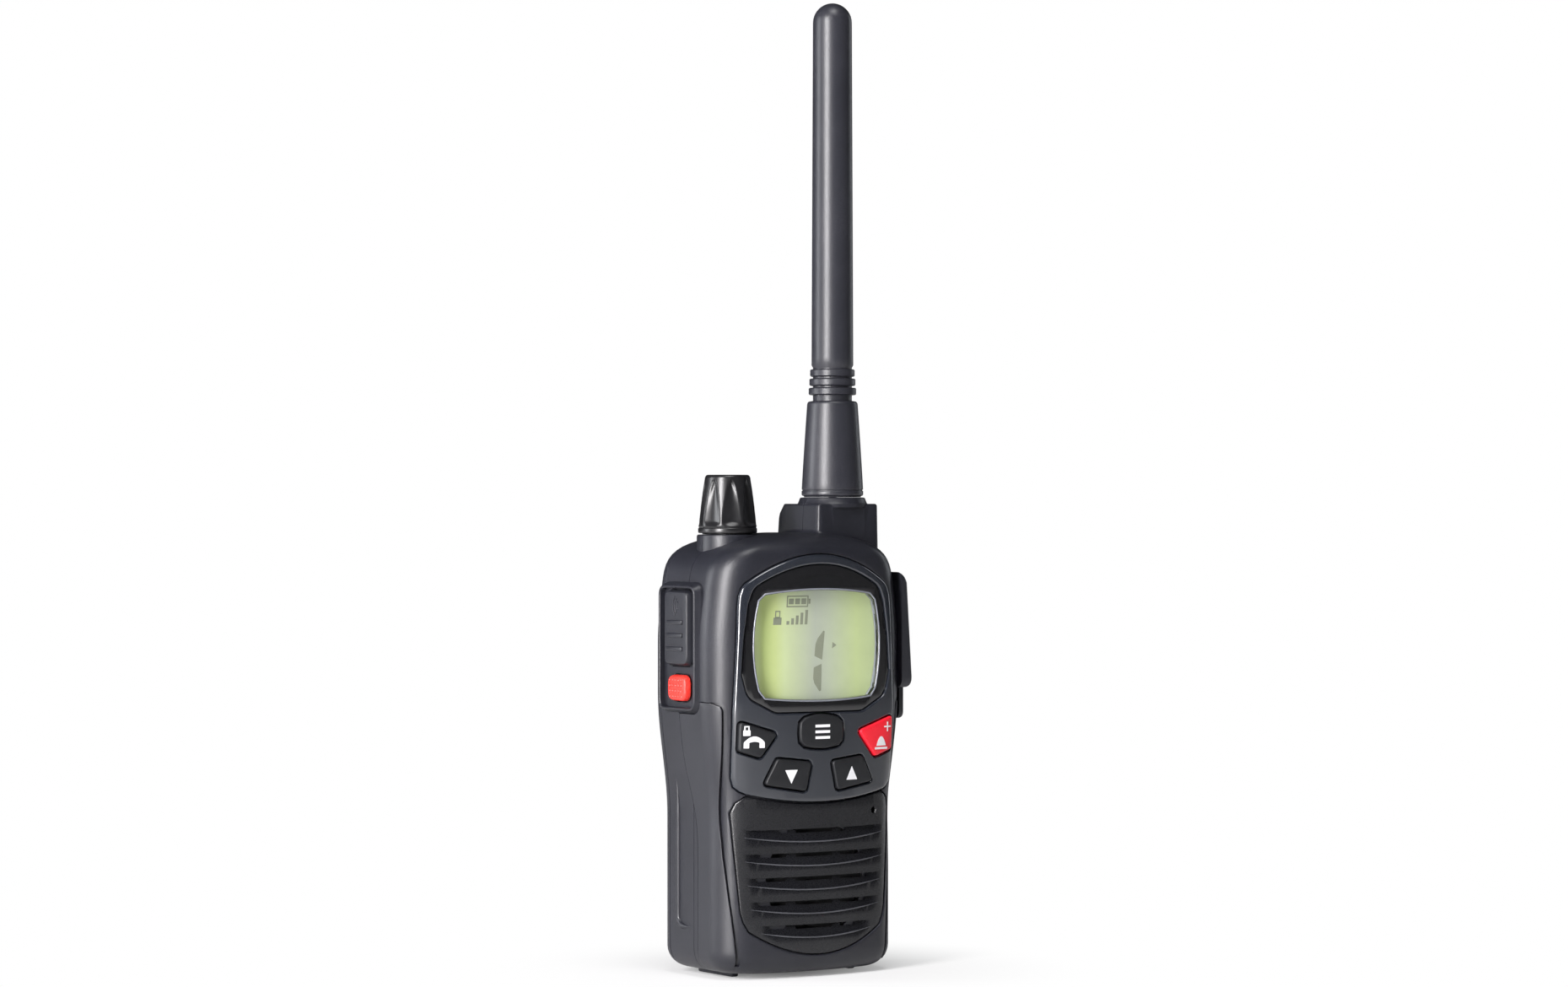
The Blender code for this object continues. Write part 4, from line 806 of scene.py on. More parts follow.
# liquid crystal display with its dark segments
lcd = {"y": -14.75 * mm, "thick": 1.5 * mm, "ink": 0.05 * mm}
obj = flatFace("displayPanel", grown(windowOutline, 0.5 * mm), lcd["y"] + lcd["thick"])
buildUp(obj, [(0, lcd["thick"])])
slant = 0.07


def segment(name, outline):
    leaning = [(x + slant * (z - 0.092), z) for x, z in scaled(outline)]
    return buildUp(flatFace(name, leaning, lcd["y"]), [(0, lcd["ink"])])


def barSegment(name, x0, z0, x1, z1):
    return segment(name, [(x0, z0), (x1, z0), (x1, z1), (x0, z1)])


def frameSegments(name, x0, z0, x1, z1, t):
    return [barSegment(name, x0, z0, x1, z0 + t), barSegment(name, x0, z1 - t, x1, z1),
            barSegment(name, x0, z0 + t, x0 + t, z1 - t), barSegment(name, x1 - t, z0 + t, x1, z1 - t)]


marks = frameSegments("batteryFrame", -9.5, 102.2, -2.4, 105.4, 0.35)
marks.append(barSegment("batteryNub", -2.3, 103.1, -1.7, 104.5))
marks += [barSegment("batteryBar", -8.8 + 2.05 * i, 103.0, -7.2 + 2.05 * i, 104.6) for i in range(3)]
marks.append(barSegment("lockBody", -13.6, 97.4, -10.9, 99.4))
marks += frameSegments("lockLoop", -13.1, 99.3, -11.4, 101.3, 0.35)
marks += [barSegment("signalBar", -9.2 + 1.5 * i, 97.4, -8.3 + 1.5 * i, 98.4 + 0.75 * i) for i in range(5)]
digitUpper = [(0.7, 88.6), (3.3, 87.5), (3.6, 95.4), (3.2, 95.6), (1.4, 93.4), (0.8, 91.9)]
digitLower = [(0.7, 85.4), (3.2, 86.4), (3.5, 79.0), (3.0, 78.8), (1.2, 81.0), (0.7, 82.4)]
marks += [segment("digitUpper", digitUpper), segment("digitLower", digitLower)]
marks.append(segment("smallArrow", [(6.4, 90.6), (7.8, 91.5), (6.4, 92.4)]))
joined(painted(obj, lcdFace), *[painted(mark, lcdInk) for mark in marks])
finished(obj, "case", [lcdFace, lcdInk], ["lcd_panel"])
print("display made")


# front keys with printed icons
keys = {"base": 3.2 * mm, "proud": 1.15 * mm, "round": 0.45 * mm, "draft": 0.12 * mm, "ink": 0.03 * mm}


def icon(outline, lift):
    shape = flatFace("icon", scaled(outline), -lift + 0.02 * mm)
    return buildUp(shape, [(0, 0.02 * mm + keys["ink"])])


def barIcon(x0, z0, x1, z1, lift):
    return icon([(x0, z0), (x1, z0), (x1, z1), (x0, z1)], lift)


def frontKey(name, outline, rides, node, skin, proud, icons):
    obj = flatFace(name, outline, keys["base"])
    buildUp(obj, [(0, keys["base"] + 0.1 * mm), (keys["draft"], proud - keys["round"] - 0.1 * mm)]
            + roundSteps(keys["round"], 4))
    layOnFront(obj, 1.5 * mm, 2.5 * mm)
    for vert in obj.data.vertices:      # the flat back stays clear of the mat when pressed
        vert.co.y = min(vert.co.y, -14.25 * mm)
    for part in icons:
        layOnFront(part, 0.8 * mm, 0)
    joined(painted(obj, skin), *[painted(part, printWhite) for part in icons])
    return finished(obj, rides, [skin, printWhite], [node])


face = keys["proud"] + 0.04 * mm
lock = [barIcon(-24.3, 67.3, -22.3, 68.8, face), barIcon(-24.05, 68.75, -23.7, 69.7, face),
        barIcon(-22.9, 68.75, -22.55, 69.7, face), barIcon(-24.05, 69.65, -22.55, 70.0, face)]
handsetBow = bow((-24.0, 65.6), (-18.2, 65.6), 1.5, 14) + bow((-18.2, 64.5), (-24.0, 64.5), -1.15, 14)
handset = [icon(handsetBow, face), barIcon(-24.1, 63.9, -22.6, 65.4, face),
           barIcon(-19.6, 63.9, -18.1, 65.4, face)]
frontKey("callKey", callOutline, "call", "call_key", keySkin, keys["proud"], lock + handset)
menuBars = [barIcon(-2.4, z, 2.4, z + 0.75, face) for z in (65.9, 67.5, 69.1)]
frontKey("menuKey", menuOutline, "menu", "menu_key", keySkin, keys["proud"], menuBars)
downIcon = [icon([(-11.9, 57.6), (-10.0, 53.9), (-8.1, 57.6)], face)]
frontKey("downKey", downOutline, "down", "down_key", keySkin, keys["proud"], downIcon)
upIcon = [icon([(8.1, 54.3), (11.9, 54.3), (10.0, 58.0)], face)]
frontKey("upKey", upOutline, "up", "up_key", keySkin, keys["proud"], upIcon)
lifted = keys["proud"] + 0.14 * mm
plus = [barIcon(21.9, 68.35, 24.5, 68.75, lifted), barIcon(23.0, 67.2, 23.4, 69.9, lifted)]
beacon = [icon(bow((19.0, 63.3), (22.6, 63.3), 2.6, 12), lifted), barIcon(18.4, 62.3, 23.2, 62.9, lifted)]
frontKey("emergencyKey", emergencyOutline, "emergency", "emergency_key", keyRed,
         keys["proud"] + 0.05 * mm, plus + beacon)
print("keys made")


# speaker panel with scooped louvres
panel = {"sink": 0.35 * mm, "under": 1.3 * mm, "round": 0.4 * mm, "top": 41.2 * mm, "pitch": 6.6 * mm,
         "ends": 1.9 * mm, "sag": 1.7 * mm, "scoop": 1.05 * mm, "easing": 4.0 * mm, "lipRadius": 0.2 * mm,
         "slotHigh": 0.2 * mm, "slotLow": 1.15 * mm}
microphone = {"x": 19.5 * mm, "z": 45.3 * mm}
halves = [23.0 * mm, 22.9 * mm, 22.2 * mm, 21.3 * mm, 18.3 * mm]
slots = [[(-12.2, -9.6), (-7.2, 4.8), (7.6, 9.4)], [(-17.9, -10.2), (-7.2, 4.8), (7.6, 15.4)],
         [(-19.2, -10.2), (-7.2, 4.8), (7.6, 17.2)], [(-18.6, -10.2), (-7.2, 4.8), (7.6, 16.6)],
         [(-15.4, -10.2), (-7.2, 4.8), (7.6, 12.8)]]
obj = flatFace("speakerPanel", panelOutline, panel["under"])
buildUp(obj, [(0, panel["under"] - panel["sink"] - panel["round"])] + roundSteps(panel["round"], 4))


def lipZ(row, t):      # t runs from -1 to 1 along the louvre
    return panel["top"] - row * panel["pitch"] - panel["ends"] - panel["sag"] * (1 - t * t)


for row, half in enumerate(halves):
    topZ = panel["top"] - row * panel["pitch"]
    acrossSteps, downSteps = 64, 8
    bpy.ops.mesh.primitive_grid_add(x_subdivisions=acrossSteps, y_subdivisions=downSteps, size=2.0)
    scoop = bpy.context.object
    for vert in scoop.data.vertices:
        t, v = vert.co.x, (vert.co.y + 1) / 2
        edge = ease((1 - abs(t)) * half, 0.0, panel["easing"])
        vert.co = (t * half, panel["sink"] + panel["scoop"] * edge * v ** 0.8 - 0.01 * mm,
                   lipZ(row, t) + (topZ - lipZ(row, t)) * v)
    editing(scoop)
    bpy.ops.mesh.extrude_region_move(TRANSFORM_OT_translate={"value": (0, -3 * mm, 0)})
    bpy.ops.mesh.select_all(action="SELECT")
    bpy.ops.mesh.normals_make_consistent(inside=False)
    leaveEdit()
    carve(obj, scoop)
    for x0, x1 in slots[row]:
        carve(obj, block("slot", (x0 * mm, -3 * mm, topZ - panel["slotLow"]),
                         (x1 * mm, 5 * mm, topZ - panel["slotHigh"])))


def micRod(name, y0, y1, radius, count=24, endRadius=None):
    x, z = microphone["x"], microphone["z"]
    return rod(name, (x, y0, z), (x, y1, z), radius, count, endRadius)


carve(obj, micRod("micTool", -2 * mm, 5 * mm, 0.75 * mm, 20),
      micRod("micLip", 0.9 * mm, -0.2 * mm, 0.6 * mm, 20, 1.5 * mm))
layOnFront(obj, 1.5 * mm, 3.3 * mm)
# beads along the louvre lips, coloured pale as a painted highlight
beads = []
for row, half in enumerate(halves):
    path = []
    for i in range(41):
        t = -1 + i / 20
        x, z = t * (half - 0.3 * mm), lipZ(row, t) - 0.05 * mm
        path.append((x, frontY(x, z) + panel["sink"] - 0.06 * mm, z))
    beads.append(painted(tube("louvreLip", path, panel["lipRadius"], taper=True, sideCount=3), lipHighlight))
joined(painted(obj, panelSkin), *beads)
finished(obj, "case", [panelSkin, lipHighlight], ["speaker_panel"], smooth=32)
print("panel made")


# case skin: one closed form, then seats and openings, then two halves
shell = {"lowSteps": 8, "midStep": 2.0 * mm,
         "topRises": (0.12, 0.25, 0.36, 0.46, 0.55, 0.63, 0.70, 0.76, 0.81, 0.855, 0.893, 0.925, 0.95, 0.97,
                      0.984, 0.995)}


def skinLevels(grow):
    low = body["low"] - grow
    levels = [low + body["footX"] * (1 - math.sin(math.pi / 2 * (1 - i / shell["lowSteps"])))
              for i in range(shell["lowSteps"] + 1)]
    first, count = levels[-1], round((body["shoulder"] - levels[-1]) / shell["midStep"])
    levels += [first + (body["shoulder"] - first) * i / count for i in range(1, count + 1)]
    rise = body["top"] + grow - body["shoulder"]
    return levels + [body["shoulder"] + rise * t for t in shell["topRises"]]


def skinForm(name, grow):
    levels = skinLevels(grow)
    rings = [halfSection(z, grow) for z in levels]
    half = sides // 2

    def place(i, k):
        x, y = rings[k][i] if i <= half else rings[k][sides - i]
        return (x if i <= half else -x, y, levels[k])
    return tubeForm(name, sides, len(levels) - 1, place)


skin = skinForm("caseForm", 0.0)
print("case form made")

boss = {"x": 17.6 * mm, "y": 2.0 * mm, "half": 10.4 * mm, "front": -6.5 * mm, "back": 15.2 * mm,
        "top": 130.7 * mm, "round": 1.6 * mm, "rim": 0.7 * mm, "foot": 1.4 * mm, "draft": 0.25 * mm,
        "slopeY": 12.4 * mm, "slope": 1.75, "lowest": 112 * mm}
corners = [(boss["x"] - boss["half"], boss["front"]), (boss["x"] + boss["half"], boss["front"]),
           (boss["x"] + boss["half"], boss["back"]), (boss["x"] - boss["half"], boss["back"])]
plan = []
for i, corner in enumerate(corners):      # straight sides are stepped too, so the foot can follow the dome
    nearby = rounded(corners, boss["round"], 6)[i * 7:(i + 1) * 7]
    following = rounded(corners, boss["round"], 6)[((i + 1) % 4) * 7]
    plan += nearby
    plan += [(nearby[-1][0] + (following[0] - nearby[-1][0]) * t / 10,
              nearby[-1][1] + (following[1] - nearby[-1][1]) * t / 10) for t in range(1, 10)]
rimTurns = [math.pi / 2 * i / 4 for i in range(5)]
grownPlan = grown(plan, 0.001)


def bossPlace(i, k):      # k runs from the hidden foot up to the top
    spot = Vector(plan[i])
    edge = Vector(grownPlan[i]) - spot
    out = edge.normalized()
    ground = max(boss["lowest"], skinTop(*(spot + out * boss["foot"])))
    top = boss["top"]
    if spot.y > boss["slopeY"]:
        top -= (spot.y - boss["slopeY"]) * boss["slope"]
    if k == 0:
        grow, z = boss["foot"] + 0.4 * mm, ground - 2.0 * mm
    elif k <= 7:
        grow, z = (boss["foot"] * (1 - math.sin(math.pi / 2 * (k - 1) / 6)),
                   ground - 0.12 * mm + boss["foot"] * (1 - math.cos(math.pi / 2 * (k - 1) / 6)))
        z = min(z, top - 2 * boss["rim"])
    else:
        turn = rimTurns[k - 8]
        grow = -boss["draft"] - boss["rim"] * (1 - math.cos(turn))
        z = top - boss["rim"] * (1 - math.sin(turn))
    spot += out * grow
    return (spot.x, spot.y, z)


bossForm = tubeForm("bossForm", len(plan), 12, bossPlace)
coneSteps = [(boss["half"] - 0.5 * mm, -1.0 * mm), (boss["half"] - 0.5 * mm, 0.0),
             (boss["half"] - 0.7 * mm, 0.25 * mm), (9.2 * mm, 1.55 * mm), (8.9 * mm, 1.75 * mm),
             (8.4 * mm, 1.8 * mm)]
coneProfile = [(radius, boss["top"] + lift) for radius, lift in coneSteps]
cone = spun("bossCone", coneProfile, (boss["x"], boss["y"]), 64)
knobX, collarTop = -17.4 * mm, 122.2 * mm
collarProfile = [(8.6 * mm, boss["lowest"]), (8.6 * mm, collarTop - 0.5 * mm),
                 (8.45 * mm, collarTop - 0.15 * mm), (8.1 * mm, collarTop)]
collar = spun("knobCollar", collarProfile, (knobX, boss["y"]), 64)
carve(skin, bossForm, cone, collar, operation="UNION")
print("boss and collar joined")

# rounded ridges along the lower sides, and the groove where the back meets the sides
ridge = {"y": 9.8 * mm, "low": 13.5 * mm, "turn": 16.5 * mm, "high": 55 * mm, "radius": 1.0 * mm,
         "sweep": 3.2 * mm}


def sidePath(points):
    return [(-caseHalf(z) + 0.25 * mm, y, z) for y, z in points]


ridgePoints = [(ridge["y"], ridge["high"] - (ridge["high"] - ridge["turn"]) * i / 24) for i in range(25)]
ridgePoints += [(ridge["y"] - ridge["sweep"] * (1 - math.cos(math.pi / 2 * i / 8)),
                 ridge["turn"] - 3.0 * mm * math.sin(math.pi / 2 * i / 8)) for i in range(1, 9)]
ridgePoints += [(ridge["y"] - ridge["sweep"] - 0.8 * mm * i, ridge["low"]) for i in range(1, 5)]
for sign in (-1, 1):
    path = [(x * -sign, y, z) for x, y, z in sidePath(ridgePoints)]
    carve(skin, tube("sideRidge", path, ridge["radius"], taper=True, sideCount=5), operation="UNION")
groove = {"y": 14.0 * mm, "radius": 0.28 * mm, "low": 4.0 * mm, "high": 117 * mm}
for sign in (-1, 1):
    path = []
    for i in range(60):
        z = groove["low"] + (groove["high"] - groove["low"]) * i / 59
        wide = sectionSizes(z)[0]
        path.append((sign * (wide + 0.06 * mm), groove["y"], z))
    carve(skin, tube("backGroove", path, groove["radius"], sideCount=2))
print("ridges and grooves made")

# seats for the front fittings
bezelSeat = layOnFront(rimTool("bezelSeat", bezelOutline, 1.6 * mm, 0.35 * mm, 0.22 * mm), 2.0 * mm, 3.0 * mm)
panelSeat = layOnFront(rimTool("panelSeat", panelOutline, 1.6 * mm, 0.40 * mm, 0.20 * mm), 2.0 * mm, 3.0 * mm)
carve(skin, bezelSeat, panelSeat)

# grips over the lower front corners
grip = {"low": 3.2 * mm, "high": 76.2 * mm, "corner": 2.2 * mm, "thick": 1.0 * mm, "proud": 0.12 * mm,
        "gap": 0.22 * mm, "seat": 1.25 * mm}
gripFront = scaled([(0, 24.3), (5, 24.8), (13.9, 25.6), (23.5, 26.6), (33.2, 27.45), (43.3, 28.0), (61, 28.5),
                    (74.7, 29.0), (80, 29.1)])
gripRear = scaled([(0, -0.8), (36, -0.8), (41, -0.3), (46, 0.8), (52, 2.5), (57, 3.7), (62, 4.3), (80, 4.4)])


def gripPatch(name, spread, thickness, offset):
    bpy.ops.mesh.primitive_grid_add(x_subdivisions=28, y_subdivisions=72, size=2.0)
    obj = bpy.context.object
    obj.name = name
    low, high = grip["low"] - spread, grip["high"] + spread
    for vert in obj.data.vertices:
        t, v = (vert.co.x + 1) / 2, (vert.co.y + 1) / 2
        z = low + (high - low) * v
        nearTop = min(1.0, max(0.0, (z - (high - grip["corner"])) / grip["corner"]))
        start = between(gripFront, z) - spread + grip["corner"] * (1 - math.sqrt(1 - nearTop ** 2))
        start = min(start, sectionSizes(z)[0] - 0.2 * mm)
        end = between(gripRear, z) + spread
        x, y = alongSection(z, start, end, t, offset)
        vert.co = (-x, y, z)
    activate(obj)
    modifier = obj.modifiers.new("wall", "SOLIDIFY")
    modifier.thickness = thickness
    modifier.offset = 1.0 if obj.data.polygons[0].normal.x > 0 else -1.0
    modifier.use_even_offset = True
    bpy.ops.object.modifier_apply(modifier=modifier.name)
    faceOut(obj)
    return obj


def softened(obj, width, segments=3, angle=50):
    activate(obj)
    modifier = obj.modifiers.new("edges", "BEVEL")
    modifier.width = width
    modifier.segments = segments
    modifier.limit_method = "ANGLE"
    modifier.angle_limit = math.radians(angle)
    bpy.ops.object.modifier_apply(modifier=modifier.name)
    return obj


podOutline = rounded(scaled([(-14.2, 72.8), (6.6, 72.8), (6.6, 109.2), (-14.2, 109.2)]), 4.2 * mm, 7)
leftGrip = softened(gripPatch("leftGrip", 0.0, grip["thick"], grip["proud"]), 0.3 * mm)
rightGrip = mirroredCopy(leftGrip, "rightGrip")
carve(leftGrip, punch("podGap", grown(podOutline, 0.06 * mm), -26 * mm, 20 * mm, turnLeft))
for sign in (-1, 1):
    seatTool = gripPatch("gripSeat", grip["gap"], grip["seat"] + 1.0 * mm, 1.0 * mm)
    if sign > 0:
        seatTool.data.transform(Matrix.Diagonal((-1, 1, 1, 1)))
        faceOut(seatTool)
    carve(skin, seatTool)
finished(leftGrip, "case", [gripSkin], ["left_grip"])
finished(rightGrip, "case", [gripSkin], ["right_grip"])
print("grips made")

# openings
podSeat = punch("podSeat", grown(podOutline, -1.0 * mm), -30.2 * mm, 10 * mm, turnLeft)
jackOutline = rounded(scaled([(-13.8, 79.0), (4.5, 79.0), (4.5, 111.5), (-13.8, 111.5)]), 3.0 * mm, 6)
jackSeat = block("jackSeat", (31.0 * mm, -14.2 * mm, 78.6 * mm), (45 * mm, 4.9 * mm, 111.9 * mm), 2.6 * mm)
inner = skinForm("innerForm", -body["wall"])
stems = block("pttStem", (-40 * mm, 1.6 * mm, 93.0 * mm), (-26.5 * mm, 8.4 * mm, 100.0 * mm))
stemLow = block("sideStem", (-40 * mm, 2.4 * mm, 77.4 * mm), (-26.5 * mm, 7.6 * mm, 82.4 * mm))
carve(skin, podSeat, jackSeat, inner, stems, stemLow)
openings = [flatFace(name + "Hole", grown(outline, 0.35 * mm), -30 * mm, toward=1)
            for name, outline in keyOutlines.items()]
openings.append(flatFace("windowHole", grown(windowOutline, 1.1 * mm), -30 * mm, toward=1))
for tool in openings:
    carve(skin, buildUp(tool, [(0, 20 * mm)], toward=1))
carve(skin, rod("speakerHole", (0, -30 * mm, 27 * mm), (0, -10 * mm, 27 * mm), 16 * mm, 48),
      micRod("micHole", -30 * mm, -10 * mm, 0.9 * mm),
      upright("shaftHole", knobX, boss["y"], 100 * mm, 140 * mm, 2.6 * mm),
      upright("bushHole", boss["x"], boss["y"], 100 * mm, 140 * mm, 5.6 * mm))
sockets = {"y": -3 * mm, "places": ((101.0 * mm, 2.1 * mm), (88.0 * mm, 1.5 * mm)), "clearance": 0.3 * mm}
for z, radius in sockets["places"]:
    carve(skin, rod("socketHole", (26 * mm, sockets["y"], z), (45 * mm, sockets["y"], z),
                    radius + sockets["clearance"], 32))

# back: door seat, screw seats
doorOutline = rounded(scaled([(-24.5, 7.5), (24.5, 7.5), (24.5, 69.0), (-24.5, 69.0)]), 2.5 * mm, 6)
carve(skin, punch("doorSeat", grown(doorOutline, 0.25 * mm), -16.4 * mm, 10 * mm, turnBack),
      punch("doorWindow", grown(doorOutline, -1.2 * mm), -12 * mm, 10 * mm, turnBack))
screwPlaces = [(0.0, 112.5 * mm), (-26.2 * mm, 73.0 * mm), (26.2 * mm, 73.0 * mm)]
for x, z in screwPlaces:
    carve(skin, rod("screwSeat", (x, 17.1 * mm, z), (x, 30 * mm, z), 2.4 * mm, 32),
          rod("screwBore", (x, 5 * mm, z), (x, 30 * mm, z), 1.4 * mm, 24))
print("openings made")

frontHousing = copied(skin, "frontHousing")
rearHousing = skin
rearHousing.name = "rearHousing"
seamGap = 0.08 * mm
frontHalf = block("frontHalf", (-0.1, -0.1, -0.01), (0.1, body["seam"] - seamGap, 0.2))
rearHalf = block("rearHalf", (-0.1, body["seam"] + seamGap, -0.01), (0.1, 0.1, 0.2))
carve(frontHousing, frontHalf, operation="INTERSECT")
carve(rearHousing, rearHalf, operation="INTERSECT")
finished(frontHousing, "case", [caseSkin], ["front_housing"])
finished(rearHousing, "case", [caseSkin], ["rear_housing"])
print("housings made")


# side key frame on the left, with its two caps
pod = {"back": -30.4 * mm, "low": 0.7 * mm, "gap": 0.35 * mm}
obj = flatFace("sideKeyFrame", podOutline, pod["back"])
buildUp(obj, [(0, pod["low"]), (0.2 * mm, 0.5 * mm), (0.7 * mm, 1.15 * mm)] + roundSteps(0.4 * mm, 4)
        + [(0.2 * mm, 0.0), (0.2 * mm, -0.2 * mm), (0.05 * mm, -1.5 * mm)])
talkCorners = scaled([(-9.9, 86.0), (2.9, 86.0), (2.9, 107.0), (-9.9, 107.0)])
redCorners = scaled([(-8.0, 76.3), (1.6, 76.3), (1.6, 83.5), (-8.0, 83.5)])
talk = {"back": -31.7 * mm, "outline": rounded(talkCorners, 2.8 * mm, 7), "ribs": (98.0, 94.4, 90.7),
        "ribHalf": 0.6}
red = {"back": -31.7 * mm, "outline": rounded(redCorners, 2.6 * mm, 7), "dentRadius": 0.62 * mm,
       "dentPitch": 1.5}
for cap in (talk, red):
    carve(obj, buildUp(flatFace("capHole", grown(cap["outline"], pod["gap"]), -28 * mm), [(0, 8 * mm)]))
finished(placed(obj, turnLeft), "case", [caseSkin], ["side_key_frame"])

obj = flatFace("pttButton", talk["outline"], talk["back"])
buildUp(obj, [(0, 0.6 * mm), (0.45 * mm, 0.75 * mm)] + roundSteps(0.5 * mm, 4))
placed(obj, turnLeft)
for z in talk["ribs"]:
    rib = block("talkRib", (-34.0 * mm, -0.2 * mm, (z - talk["ribHalf"]) * mm),
                (-33.2 * mm, 7.8 * mm, (z + talk["ribHalf"]) * mm), 0.28 * mm)
    carve(obj, rib, operation="UNION")
for reach in (1.5, 2.6, 3.7):      # plain sound waves instead of letters
    path = [(-33.55 * mm, (1.0 + reach * math.cos(a)) * mm, (102.6 + reach * math.sin(a)) * mm)
            for a in [math.radians(-45 + 90 * i / 10) for i in range(11)]]
    carve(obj, tube("waveMark", path, 0.22 * mm, sideCount=2), operation="UNION")
carve(obj, block("talkStem", (-32.5 * mm, 3.0 * mm, 94.0 * mm), (-29.0 * mm, 7.0 * mm, 99.0 * mm)),
      operation="UNION")
finished(obj, "ptt", [gripSkin], ["ptt_button"])

obj = flatFace("sideButton", red["outline"], red["back"])
buildUp(obj, [(0, 0.7 * mm), (0.12 * mm, 0.25 * mm)] + roundSteps(0.9 * mm, 5))
placed(obj, turnLeft)
dents = []
for i in range(5):
    for k in range(4):
        bpy.ops.mesh.primitive_uv_sphere_add(segments=12, ring_count=8, radius=red["dentRadius"],
                                             location=(0, 0, 0))
        dents.append(bpy.context.object)
        spot = (-33.95 * mm, (0.25 + red["dentPitch"] * i) * mm, (77.65 + red["dentPitch"] * k) * mm)
        dents[-1].data.transform(Matrix.Translation(spot))
carve(obj, joined(dents[0], *dents[1:]))
carve(obj, block("sideStem", (-32.2 * mm, 3.0 * mm, 78.0 * mm), (-28.6 * mm, 7.0 * mm, 82.0 * mm)),
      operation="UNION")
finished(obj, "side_key", [sideRed], ["side_button"])
print("side keys made")

# volume knob with pointed flutes
knob = {"flutes": 8, "depth": 0.95 * mm, "fluteLow": 124.8 * mm, "fluteTop": 137.0 * mm}
profile = [(7.0, 122.3), (7.1, 122.6), (7.9, 122.6), (8.15, 122.75), (8.2, 123.0), (8.2, 123.8), (8.1, 124.0),
           (7.95, 124.1), (8.0, 124.3)]
profile += [(8.12 - 1.75 * t ** 1.25, 124.5 + 13.0 * t) for t in [i / 24 for i in range(25)]]
profile += [(6.37 - 0.9 * (1 - math.cos(a)), 137.5 + 1.3 * math.sin(a)) for a in
            [math.pi / 2 * i / 6 for i in range(1, 7)]]
profile += [(5.0, 138.75), (4.2, 138.6), (2.2, 138.5)]
obj = spun("volumeKnob", scaled(profile), (knobX, boss["y"]), 160)
for vert in obj.data.vertices:
    x, y, z = vert.co.x - knobX, vert.co.y - boss["y"], vert.co.z
    if not knob["fluteLow"] < z < knob["fluteTop"] or math.hypot(x, y) < 4.5 * mm:
        continue
    turn = (math.atan2(y, x) / (2 * math.pi / knob["flutes"])) % 1.0 - 0.5
    rise = (z - knob["fluteLow"]) / (knob["fluteTop"] - knob["fluteLow"])
    width = 0.46 * math.sqrt(max(0.0, 1 - rise ** 1.6))
    if abs(turn) < width:
        amount = (1 - (turn / width) ** 2) * min(1.0, rise * 14) * knob["depth"] * (1 - 0.35 * rise)
        reach = math.hypot(x, y)
        vert.co.x = knobX + x * (reach - amount) / reach
        vert.co.y = boss["y"] + y * (reach - amount) / reach
carve(obj, upright("shaftBore", knobX, boss["y"], 120 * mm, 134.6 * mm, 2.05 * mm))
finished(obj, "knob", [knobGloss], ["volume_knob"], smooth=42)
print("knob made")

# antenna: boot, three rings and a long rod with a domed tip
antenna = {"rings": 3, "ringTop": 168.8, "pitch": 2.6, "ringRadius": 6.3, "rodRadius": 5.9, "tipRadius": 5.5}
profile = [(8.0, 132.55), (8.1, 132.9), (8.45, 132.95), (8.65, 133.15), (8.7, 133.4), (8.7, 134.2),
           (8.6, 134.35), (8.45, 134.4), (8.45, 134.6), (8.62, 134.7), (8.66, 134.9)]
profile += [(8.66 - 1.5 * t ** 1.1, 134.9 + 23.6 * t) for t in [i / 16 for i in range(1, 17)]]
profile += [(7.16 - 0.75 * (1 - math.cos(a)), 158.5 + 1.1 * math.sin(a)) for a in
            [math.pi / 2 * i / 5 for i in range(1, 6)]]
profile += [(5.5, 159.75), (5.5, 160.3)]
for i in reversed(range(antenna["rings"])):
    top, wide = antenna["ringTop"] - antenna["pitch"] * i, antenna["ringRadius"] + 0.2 * i
    profile += [(5.5, top - 2.3), (wide - 0.25, top - 2.2), (wide, top - 1.95), (wide, top - 0.45),
                (wide - 0.25, top - 0.2), (5.5, top - 0.1)]
profile += [(5.5, 169.1), (5.9, 169.8), (5.88, 172.0)]
profile += [(antenna["rodRadius"] - 0.4 * t, 169.8 + 96.7 * t) for t in [i / 12 for i in range(1, 13)]]
profile += [(antenna["tipRadius"] * math.cos(a), 266.5 + antenna["tipRadius"] * math.sin(a)) for a in
            [math.pi / 2 * i / 10 for i in range(1, 10)]]
obj = spun("antennaSheath", scaled(profile), (boss["x"], boss["y"]), 96)
carve(obj, upright("elementBore", boss["x"], boss["y"], 130 * mm, 262 * mm, 2.6 * mm))
finished(obj, "case", [antennaSkin], ["antenna_sheath"], smooth=40)
print("antenna made")

# rubber jack cover on the right, with its pull tab
obj = flatFace("jackCover", jackOutline, -30.6 * mm)
buildUp(obj, [(0, 2.6 * mm)] + roundSteps(1.3 * mm, 5)
        + [(0.5 * mm, 0.0), (0.15 * mm, -0.15 * mm), (0.25 * mm, 0.0), (0.15 * mm, 0.15 * mm)])
placed(obj, turnRight)
tabOutline = rounded(scaled([(-10.0, 70.2), (0.0, 70.2), (0.0, 81.0), (-10.0, 81.0)]), 2.2 * mm, 6)
tab = flatFace("pullTab", tabOutline, -32.2 * mm)
buildUp(tab, [(0, 1.0 * mm)] + roundSteps(0.8 * mm, 4) + [(0.5 * mm, 0.0), (0.2 * mm, -0.25 * mm)])
carve(obj, placed(tab, turnRight), operation="UNION")
for vert in obj.data.vertices:      # the shoulder narrows towards the top of the case
    draw = between(scaled([(99.5, 0.0), (106.0, 0.8), (110.7, 2.4), (111.5, 2.6)]), vert.co.z)
    if vert.co.x > 31.0 * mm:
        vert.co.x = max(31.0 * mm, vert.co.x - draw)
